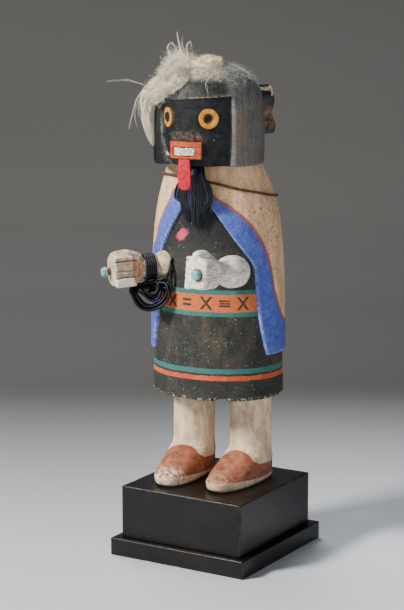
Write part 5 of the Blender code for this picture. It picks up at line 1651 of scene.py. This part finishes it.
def build_bobbin():
    outline = (
        (1.0, 266.2), (6.0, 266.4), (8.1, 267.2), (8.9, 269.5), (9.2, 272.5), (8.6, 275.6), (7.4, 278.6),
        (6.8, 281.0),
        (7.2, 284.0), (8.0, 287.5), (8.3, 291.0), (7.8, 294.2), (6.2, 296.2), (4.6, 297.6), (4.1, 300.0),
        (4.0, 302.0),
        (3.6, 302.8), (0.6, 303.0),
    )
    profile = fine_profile(outline, 0.45)
    vertices, faces = disc_grid(profile, 84)
    radial = np.stack((vertices[:, 0], vertices[:, 1], 0 * vertices[:, 0]), -1)
    radial /= np.maximum(np.linalg.norm(radial, axis=1), 0.3)[:, None]
    carve = (
        0.35 * fractal(vertices * (1.0, 1.0, 0.35), 3.4, 111) - 0.25
        * np.abs(fractal(vertices * (1.6, 1.6, 0.3), 2.0, 113))
    )
    vertices = vertices + radial * carve[:, None]
    paint = Paint("bobbin_wood", 0.7)
    grain = paint.noise(1.6, 4.0, 0.7, stretch=(1.0, 1.0, 0.18))
    black = paint.mix(paint.step(grain, 0.5, 0.15), "#1b1a1a", "#3d3b3a")
    wood = paint.mix(grain, "#6b4a33", "#97704f")
    z = paint.axis("Z")
    waist = paint.band(z, 273.0, 285.0, 4.0)
    bare = paint.both(paint.spread(0.46, 0.06, 5.0, 4.0, 0.65), waist)
    paint.set("Base Color", paint.over(black, wood, bare, 0.9))
    paint.bump(grain, 0.4, 0.7)
    shift = Matrix.Translation((0.0326, 0.0088, 0.0))
    bobbin = add_mesh("bobbin_turned", vertices, faces, paint.material, matrix=FIGURE_PLACE @ shift)
    fit_piece(bobbin, ("hair_bobbin",))
    turns = np.linspace(0, 2 * pi * 3.25, 150)
    line = np.stack((
        (5.1 + 0.25 * np.sin(2.3 * turns)) * np.cos(turns),
        (5.1 + 0.25 * np.sin(2.3 * turns)) * np.sin(turns),
        298.3 + 0.75 * turns / (2 * pi) + 0.2 * np.sin(1.7 * turns),
    ), -1)
    ends = [
        (6.5, -1.8, 300.6), (7.8, -3.0, 299.3), (8.4, -3.6, 297.0), (8.2, -3.9, 294.6),
    ]
    line = spline_through(np.vstack((line[::4], ends)), 0.5)
    first = tube(line, 0.62, 8, plies=2, pitch=2.6, depth=0.22)
    stub = spline_through(
        [(-4.2, -2.5, 300.0), (-6.2, -4.2, 300.5), (-8.2, -5.6, 300.1), (-10.2, -6.6, 300.4)], 0.5,
    )
    second = tube(stub, 0.55, 8, plies=2, pitch=2.6, depth=0.22)
    vertices, faces = joined([first, second])
    cotton = Paint("cotton_tie", 0.9)
    cotton.set("Base Color", cotton.mix(cotton.noise(1.5, 4.0), "#a88f68", "#dccaa6"))
    cotton.bump(cotton.noise(0.3, 3.0), 0.15, 0.7)
    tie = add_mesh("bobbin_cotton", vertices, faces, cotton.material, matrix=FIGURE_PLACE @ shift)
    fit_piece(tie, ("bobbin_tie",))


def build_shoulder_cord():
    angle = np.linspace(0, 2 * pi, 560, endpoint=False)
    height = CORD_AT + CORD_TILT * np.cos(angle - CORD_HIGH)
    lift = 0.35 * np.sin(3 * angle + 1.0) + 0.2 * np.sin(7 * angle)
    points = body_point(height + lift, angle, CAPE_PROUD + 1.35)
    vertices, faces = tube(points, 1.02, 12, closed=True, plies=2, pitch=4.6, depth=0.26)
    paint = Paint("brown_twine_twist", 0.78)
    colour = paint.mix(paint.spread(0.5, 0.15, 2.5, 4.0, 0.65), "#2c1811", "#5e3522")
    fuzz = paint.spread(0.64, 0.05, 0.6, 4.0, 0.8)
    paint.set("Base Color", paint.over(colour, "#8c5e42", fuzz, 0.6))
    paint.bump(paint.noise(0.35, 3.0, 0.7), 0.14, 0.7)
    cord = add_mesh("shoulder_cord_twist", vertices, faces, paint.material)
    fit_piece(cord, ("shoulder_cord",))


# Fur on the head: a lumpy pelt, thousands of fine curls and one hanging lock
FUR_CENTRE = 283.0
FUR_TURN = radians(23.8)
FUR_LOCK = (
    (-35.5, -37.0, 301.0, 4.6), (-39.2, -41.6, 296.0, 5.2), (-39.1, -41.5, 286.5, 5.0),
    (-38.5, -41.3, 277.6, 4.6),
    (-37.4, -40.8, 269.5, 3.6), (-36.4, -40.3, 263.6, 2.2), (-35.2, -39.8, 259.2, 0.7),
)
STRAY_HAIRS = (
    (9, ((-16.8, -28.6, 324.0), (-18.1, -30.2, 332.5), (-18.8, -31.4, 337.5), (-19.4, -31.6, 342.0))),
    (6, ((-12.4, -27.1, 323.0), (-12.7, -28.8, 331.7), (-10.9, -27.9, 335.0), (-9.6, -27.6, 331.0))),
    (7, ((-24.0, -31.8, 322.0), (-25.5, -34.4, 331.0), (-23.0, -33.2, 334.2), (-20.8, -32.3, 331.0))),
    (2, ((-14.0, -27.5, 323.0), (-15.5, -29.5, 331.0), (-16.5, -30.5, 336.0), (-15.2, -30.0, 339.5))),
    (
        2,
        (
            (-38.0, -38.5, 302.0), (-47.1, -43.0, 305.1), (-54.0, -46.3, 306.9), (-60.0, -49.7, 306.4),
            (-67.0, -53.0, 305.8),
        ),
    ),
    (
        3,
        (
            (-40.4, -42.2, 302.0), (-45.2, -46.4, 292.5), (-47.2, -47.3, 286.6), (-49.3, -48.2, 279.3),
            (-50.7, -48.8, 271.0),
        ),
    ),
    (
        3,
        (
            (-39.9, -43.7, 300.0), (-43.0, -47.6, 289.7), (-43.7, -47.9, 283.1), (-41.7, -47.0, 278.0),
            (-40.0, -46.3, 274.0),
        ),
    ),
    (2, ((-40.0, -42.0, 296.0), (-45.0, -45.5, 290.0), (-46.5, -46.5, 281.0), (-45.5, -46.0, 273.0))),
    (
        1,
        (
            (17.0, -49.5, 313.5), (14.6, -53.4, 309.8), (13.6, -55.2, 305.5), (15.4, -55.6, 301.5),
            (15.6, -54.9, 298.2),
        ),
    ),
    (1, ((27.0, -16.5, 309.5), (32.2, -14.4, 307.5), (36.5, -12.5, 304.9), (38.0, -11.5, 301.9))),
)


def hair_reach(direction):
    """Distance from the fur's centre to the hair along unit directions."""
    low = np.zeros(direction.shape[:-1])
    high = np.full(direction.shape[:-1], 70.0)
    for _ in range(26):
        middle = (low + high) / 2
        height = FUR_CENTRE + direction[..., 2] * middle
        across = np.hypot(direction[..., 0] * middle / 1.01, direction[..., 1] * middle / 0.955)
        inside = (across < curve_at(HEAD, 1, height)) & (height > 246.0) & (height < 319.0)
        low = np.where(inside, middle, low)
        high = np.where(inside, high, middle)
    return low


def fur_cover(direction):
    """Reach of the hair, thickness of the pelt, and shares of woolly and of bare pelt."""
    reach = hair_reach(direction)
    x, y = direction[..., 0] * reach, direction[..., 1] * reach
    height = FUR_CENTRE + direction[..., 2] * reach
    here = direction * reach[..., None]
    ragged = 1.3 * fractal(here, 6.0, 41)
    side = -(x * cos(FUR_TURN) + (y - HEAD_FORWARD) * sin(FUR_TURN)) + ragged
    round_angle = np.arctan2(x, -y)
    low_edge = 287.0 + 22.0 * ((round_angle + pi / 2) / (pi / 2)) ** 2
    wool = np.clip(np.minimum(side - 20.5, height - low_edge + ragged) / 4.0, 0, 1)
    on_top = np.where(direction[..., 2] > 0, 18.0 - np.hypot(x, y), -18.0) + ragged
    bare = np.clip(np.minimum(side + 4.0, on_top) / 3.0, 0, 1)
    lump = (
        np.sin(9 * direction[..., 0] + 2) * np.sin(11 * direction[..., 1] + 1) + np.sin(7 * direction[..., 2])
    )
    fine = fractal(here, 5.0, 44)
    small = fractal(here, 2.2, 47)
    thick = np.maximum(
        wool * (4.0 + 1.1 * lump + 1.9 * fine + 0.9 * small),
        bare * (3.4 + 1.1 * lump + 2.0 * fine + 1.1 * small),
    )
    return reach, np.where(thick > 0, thick, -9.0), wool, bare * (1 - wool)


def strand_cloud(name, lines, radius, tones, material, sides=3):
    """Fine tapering strands. Lines hold the points of every strand: strands, rings, 3."""
    strands, rings = lines.shape[:2]
    tangent = np.gradient(lines, axis=1)
    tangent /= np.maximum(np.linalg.norm(tangent, axis=-1), 1e-6)[..., None]
    reference = np.where(np.abs(tangent[:, :1, 2:]) > 0.9, (1.0, 0.0, 0.0), (0.0, 0.0, 1.0))
    u = np.cross(tangent, np.broadcast_to(reference, tangent.shape))
    u /= np.maximum(np.linalg.norm(u, axis=-1), 1e-6)[..., None]
    w = np.cross(tangent, u)
    angle = 2 * pi * np.arange(sides) / sides
    thin = np.linspace(1.0, 0.25, rings)[None, :, None, None]
    r = np.broadcast_to(np.asarray(radius, float), (strands,))[:, None, None, None] * thin
    swing = (
        np.cos(angle)[None, None, :, None] * u[:, :, None, :] + np.sin(angle)[None, None, :, None]
        * w[:, :, None, :]
    )
    vertices = (lines[:, :, None, :] + r * swing).reshape(-1, 3)
    one = []
    for ring in range(rings - 1):
        for k in range(sides):
            k2 = (k + 1) % sides
            one.append((ring * sides + k, ring * sides + k2, (ring + 1) * sides + k2, (ring + 1) * sides + k))
    each = rings * sides
    quads = (np.array(one)[None, :, :] + (np.arange(strands) * each)[:, None, None]).reshape(-1, 4).tolist()
    caps = np.arange(strands)[:, None] * each
    ends = (
        (caps + np.arange(sides)[::-1][None, :]).tolist()
        + (caps + each - sides + np.arange(sides)[None, :]).tolist()
    )
    tone = np.repeat(np.asarray(tones, float), each)
    return add_mesh(name, vertices, quads + ends, material, {"tone": tone})


def fur_paint(name, pale, mid, dark):
    paint = Paint(name, 0.85, Sheen_Weight=0.35, Sheen_Roughness=0.5)
    tone = paint.attribute("tone")
    colour = paint.mix(paint.step(tone, 0.4, 0.35), dark, mid)
    colour = paint.mix(paint.step(tone, 0.75, 0.2), colour, pale)
    patch = paint.spread(0.6, 0.1, 7.0, 3.0, 0.6)
    paint.set("Base Color", paint.over(colour, "#a8967c", patch, 0.3))
    return paint.material


def curls(roots, heading, length, curl, turns, rings=7):
    """Points of curling strands from their roots along unit headings."""
    share = np.linspace(0, 1, rings)[None, :, None]
    side = np.cross(heading, (0.31, 0.52, 0.8))
    side /= np.linalg.norm(side, axis=-1)[:, None]
    other = np.cross(heading, side)
    phase = RANDOM.random(len(roots))[:, None, None] * 2 * pi
    swing = 2 * pi * turns[:, None, None] * share + phase
    grow = curl[:, None, None] * np.minimum(1.0, share * 2.2)
    line = roots[:, None, :] + heading[:, None, :] * length[:, None, None] * share
    line = line + grow * (np.cos(swing) * side[:, None, :] + np.sin(swing) * other[:, None, :])
    line = line - grow * (np.cos(phase) * side[:, None, :] + np.sin(phase) * other[:, None, :]) * share
    line[..., 2] -= (0.035 * length[:, None] ** 1.35) * share[..., 0] ** 2
    return line


def build_pelt():
    columns, rows = 200, 96
    turn = np.linspace(-pi, pi, columns, endpoint=False)
    rise = np.linspace(-pi / 2 + 0.03, pi / 2 - 0.012, rows)
    e, a = np.meshgrid(rise, turn, indexing="ij")
    direction = np.stack((np.cos(e) * np.sin(a), -np.cos(e) * np.cos(a), np.sin(e)), -1)
    reach, thick, wool, bare = fur_cover(direction)
    points = direction * (reach + thick)[..., None]
    points[..., 1] -= HEAD_FORWARD
    points[..., 2] += FUR_CENTRE
    vertices = points.reshape(-1, 3)
    faces = grid_faces(rows, columns, closed=True)
    start = len(vertices)
    low, high = points[0].mean(axis=0), points[-1].mean(axis=0)
    vertices = np.vstack((vertices, [low], [high]))
    faces += fan(list(range(columns)), start, flip=True)
    faces += fan(list(range(start - columns, start)), start + 1)
    paint = Paint("pelt", 0.85, Sheen_Weight=0.2, Sheen_Roughness=0.5)
    skin = paint.mix(paint.spread(0.5, 0.15, 3.0, 4.0, 0.65), "#b59c6c", "#e9dcb8")
    dirt = paint.spread(0.55, 0.05, 1.8, 5.0, 0.8)
    skin = paint.over(skin, "#5a4a38", dirt, 0.75)
    felt = paint.mix(paint.spread(0.5, 0.2, 2.2, 4.0, 0.7), "#9b9081", "#d9d0c2")
    paint.set("Base Color", paint.mix(paint.step(paint.attribute("bare"), 0.4, 0.25), felt, skin))
    paint.bump(paint.noise(1.0, 5.0, 0.75), 0.5, 0.8)
    marks = {"bare": np.append(bare.ravel(), (0, 0))}
    pelt = add_mesh("fur_pelt", vertices, faces, paint.material, marks)
    fit_piece(pelt, ("head_fur",))


def fur_roots(count, woolly):
    """Roots on the pelt, with their outward directions."""
    found = []
    total = 0
    while total < count:
        d = RANDOM.normal(size=(count * 3, 3))
        d /= np.linalg.norm(d, axis=1)[:, None]
        d = d[d[:, 2] > -0.1]
        reach, thick, wool, bare = fur_cover(d)
        keep = (wool > 0.2) if woolly else (bare > 0.25)
        root = d[keep] * (reach + thick - 0.6)[keep][:, None] + (0.0, -HEAD_FORWARD, FUR_CENTRE)
        found.append((root, d[keep], wool[keep]))
        total += keep.sum()
    return [np.concatenate([f[i] for f in found])[:count] for i in range(3)]


def unit(vectors):
    return vectors / np.linalg.norm(vectors, axis=-1)[..., None]


def build_fur():
    build_pelt()
    cream = fur_paint("cream_wool", "#fffaec", "#efe2c8", "#8d7b60")
    for part_name, count, shortest, longest, fat in (
        ("long", 3000, 5.0, 11.5, 0.13), ("under", 2900, 3.5, 8.0, 0.15), ("short", 2300, 2.0, 5.5, 0.13),
    ):
        roots, out, wool = fur_roots(count, True)
        fall = 1 - smoothstep(298.0, 320.0, roots[:, 2])[:, None]
        comb = np.array((-0.15, -0.3, -1.0)) * fall * 1.3 + np.array((-0.3, -0.3, 0.15)) * (1 - fall)
        tuft = np.stack([fractal(roots, 4.5, seed, 2) for seed in (141, 142, 143)], -1)
        heading = unit(0.6 * out + comb + 1.5 * tuft + 0.4 * RANDOM.normal(size=(count, 3)))
        length = shortest + (longest - shortest) * RANDOM.random(count) ** 1.4
        curl = 0.6 + 1.0 * RANDOM.random(count) ** 1.5
        turns = 0.7 + 1.3 * RANDOM.random(count)
        lines = curls(roots, heading, length * (0.55 + 0.45 * wool), curl, turns)
        tone = np.clip(0.55 + 0.9 * fractal(roots, 3.2, 147, 2) + 0.3 * RANDOM.normal(size=count), 0, 1)
        piece = strand_cloud("wool_" + part_name, lines, fat, tone, cream)
        fit_piece(piece, ("head_fur",))
    count = 420
    share = RANDOM.random(count)
    roots = np.stack((-26.0 + 17.0 * share, -30.5 + 2.5 * share, 318.0 + 3.5 * np.sin(pi * share)), -1)
    roots += RANDOM.normal(size=(count, 3)) * (1.5, 4.0, 1.0)
    heading = unit(np.array((-0.12, 0.0, 1.0)) + 0.38 * RANDOM.normal(size=(count, 3)))
    length = 4.0 + 12.0 * RANDOM.random(count) ** 2.2 * (1.0 - np.abs(share - 0.42))
    lines = curls(
        roots, heading, length, 0.5 + 0.9 * RANDOM.random(count), 0.6 + 1.0 * RANDOM.random(count), 9,
    )
    lines[..., 2] += (0.025 * length[:, None] ** 1.3) * np.linspace(0, 1, 9) ** 2
    piece = strand_cloud("wool_tuft", lines, 0.085, 0.4 + 0.6 * RANDOM.random(count), cream)
    fit_piece(piece, ("head_fur",))
    tan = fur_paint("tan_wool", "#eadfc6", "#c9b996", "#86745a")
    roots, out, _ = fur_roots(1300, False)
    heading = unit(0.5 * out + np.array((0.1, -0.2, 0.0)) + 0.7 * RANDOM.normal(size=out.shape))
    lines = curls(
        roots, heading, 1.0 + 2.6 * RANDOM.random(1300), 0.3 + 0.4 * RANDOM.random(1300), np.ones(1300), 5,
    )
    piece = strand_cloud("wool_top", lines, 0.11, RANDOM.random(1300), tan)
    fit_piece(piece, ("head_fur",))
    lines, radii, tones = [], [], []
    lock = np.array(FUR_LOCK)
    for index in range(620):
        begin = 0.55 * RANDOM.random() if index % 3 else 0.0
        along = np.linspace(begin, 1.0, 9) * (len(lock) - 1)
        axis = np.stack([np.interp(along, range(len(lock)), lock[:, c]) for c in range(4)], -1)
        turn, out = 2 * pi * RANDOM.random(), RANDOM.random() ** 0.5
        swirl = turn + 0.5 * np.sin(along * 1.6 + index)
        point = (
            axis[:, :3] + (axis[:, 3] * out * 1.02)[:, None]
            * np.stack((np.cos(swirl), np.sin(swirl), 0 * swirl), -1)
        )
        point += 0.35 * RANDOM.normal(size=(1, 3))
        lines.append(point)
        radii.append(0.14 + 0.12 * RANDOM.random())
        tones.append(0.3 + 0.7 * RANDOM.random())
    piece = strand_cloud("wool_lock", np.array(lines), np.array(radii), tones, cream)
    fit_piece(piece, ("head_fur",))
    parts, marks = [], []
    for many, line in STRAY_HAIRS:
        for copy in range(many):
            shift = (
                RANDOM.normal(0, 0.45, (len(line), 3))
                * np.linspace(1.0, 0.4 if many > 4 else 1.6, len(line))[:, None]
            )
            points = spline_through(np.array(line) + (shift if many > 1 else 0), 1.4)
            taper = np.linspace(1.0, 0.35, len(points))
            v, f = tube(points, 0.075 if many > 1 else 0.13, 4, taper=taper)
            parts.append((v, f))
            marks.append(np.full(len(v), 0.7 + 0.3 * RANDOM.random()))
    vertices, faces = joined(parts)
    piece = add_mesh("wool_strays", vertices, faces, cream, {"tone": np.concatenate(marks)})
    fit_piece(piece, ())
    grey = fur_paint("grey_wool", "#c9c9c4", "#a9aaa7", "#77797a")
    d = RANDOM.normal(size=(9000, 3))
    d /= np.linalg.norm(d, axis=1)[:, None]
    reach, thick, wool, bare = fur_cover(d)
    roots = d * (reach - 0.3)[:, None] + (0.0, -HEAD_FORWARD, FUR_CENTRE)
    right = roots[:, 0] * cos(FUR_TURN) + roots[:, 1] * sin(FUR_TURN)
    keep = (roots[:, 2] > 304.0 + 4.0 * RANDOM.random(len(d))) & (thick < 0) & (right > -9.0)
    roots, out = roots[keep][:900], d[keep][:900]
    heading = unit(0.28 * out + np.array((0.55, -0.35, -0.25)) + 0.45 * RANDOM.normal(size=out.shape))
    heading -= out * np.minimum(0, (heading * out).sum(axis=1) - 0.06)[:, None]
    count = len(roots)
    lines = curls(roots, unit(heading), 2.5 + 4.5 * RANDOM.random(count), 0.25 + 0.4 * RANDOM.random(count),
                  0.4 + 0.8 * RANDOM.random(count))
    lines[..., 2] += 0.4
    piece = strand_cloud("wool_crown", lines, 0.09, RANDOM.random(count), grey)
    fit_piece(piece, ("head_fur",))


# Display stand
def lacquer(name):
    """Near-black lacquer that is worn on the edges, where the lighter wear is also a painted highlight."""
    paint = Paint(name, 0.3, Coat_Weight=0.08, Coat_Roughness=0.12, Specular_IOR_Level=0.25)
    edge = paint.attribute("edge")
    cloud = paint.noise(22.0, 4.0, 0.6)
    base = paint.mix(paint.step(cloud, 0.5, 0.25), "#0a0909", "#151211")
    dust = paint.spread(0.68, 0.03, 0.9, 4.0, 0.75)
    base = paint.over(base, "#6a645d", dust, 0.35)
    # Wear on the edges in lighter brown, which is also a painted highlight along them
    wear = paint.both(paint.below(edge, 0.55, 0.35), paint.spread(0.53, 0.06, 4.0, 5.0, 0.75))
    base = paint.over(base, "#54483c", wear, 0.55)
    scratch = paint.spread(0.73, 0.02, 1.1, 3.0, 0.6, stretch=(0.05, 1.0, 1.0), distortion=0.4)
    base = paint.over(base, "#5c5650", scratch, 0.4)
    paint.set("Base Color", base)
    rough = paint.plus(0.2, paint.times(cloud, 0.28))
    paint.set("Roughness", paint.plus(rough, paint.times(dust, 0.3)))
    paint.bump(paint.plus(paint.noise(14.0, 2.0), paint.times(scratch, 0.3)), 0.1, 0.5)
    return paint.material


def build_stand():
    for name, node, size, level in (
        ("block", "stand_block", (104.0, 107.3, 40.1), 33.85),
        ("plinth", "stand_plinth", (116.8, 120.1, 13.5), 6.75),
    ):
        half = np.array(size) / 2
        work = bmesh.new()
        bmesh.ops.create_cube(work, size=1.0, matrix=Matrix.Diagonal((*size, 1.0)))
        bmesh.ops.bevel(work, geom=list(work.edges), offset=0.7, segments=3, profile=0.5, affect="EDGES")
        long_edges = [e for e in work.edges if e.calc_length() > 5.0]
        bmesh.ops.subdivide_edges(work, edges=long_edges, cuts=34, use_grid_fill=True)
        vertices = np.array([v.co[:] for v in work.verts])
        faces = [tuple(v.index for v in f.verts) for f in work.faces]
        work.free()
        gap = np.sort(half - np.abs(vertices), axis=1)
        edge = gap[:, 1]
        inward = -np.sign(vertices) * (half - np.abs(vertices) < 1.5)
        dent = smoothstep(0.25, 0.8, fractal(vertices, 9.0, 51)) * np.exp(-((edge / 0.9) ** 2))
        vertices = vertices + inward * (0.3 * dent)[:, None] + (0.0, 0.0, level)
        stand = add_mesh(
            "stand_" + name + "_lacquered", vertices, faces, lacquer(name + "_lacquer"), {"edge": edge},
            matrix=Matrix.Identity(4),
        )
        fit_piece(stand, (node,))


build_camera()
build_studio()
build_yarn()
for build in (build_dress, build_cape, build_head):
    fit_piece(build(), ("figure",))
for side_name in ("right", "left"):
    fit_piece(build_leg(side_name), ("figure",))
    fit_piece(build_arm(side_name), (side_name + "_arm",))
    build_stone(side_name)
    build_eye(side_name)
build_mouth()
build_tongue()
build_beard()
build_bobbin()
build_shoulder_cord()
build_fur()
build_stand()
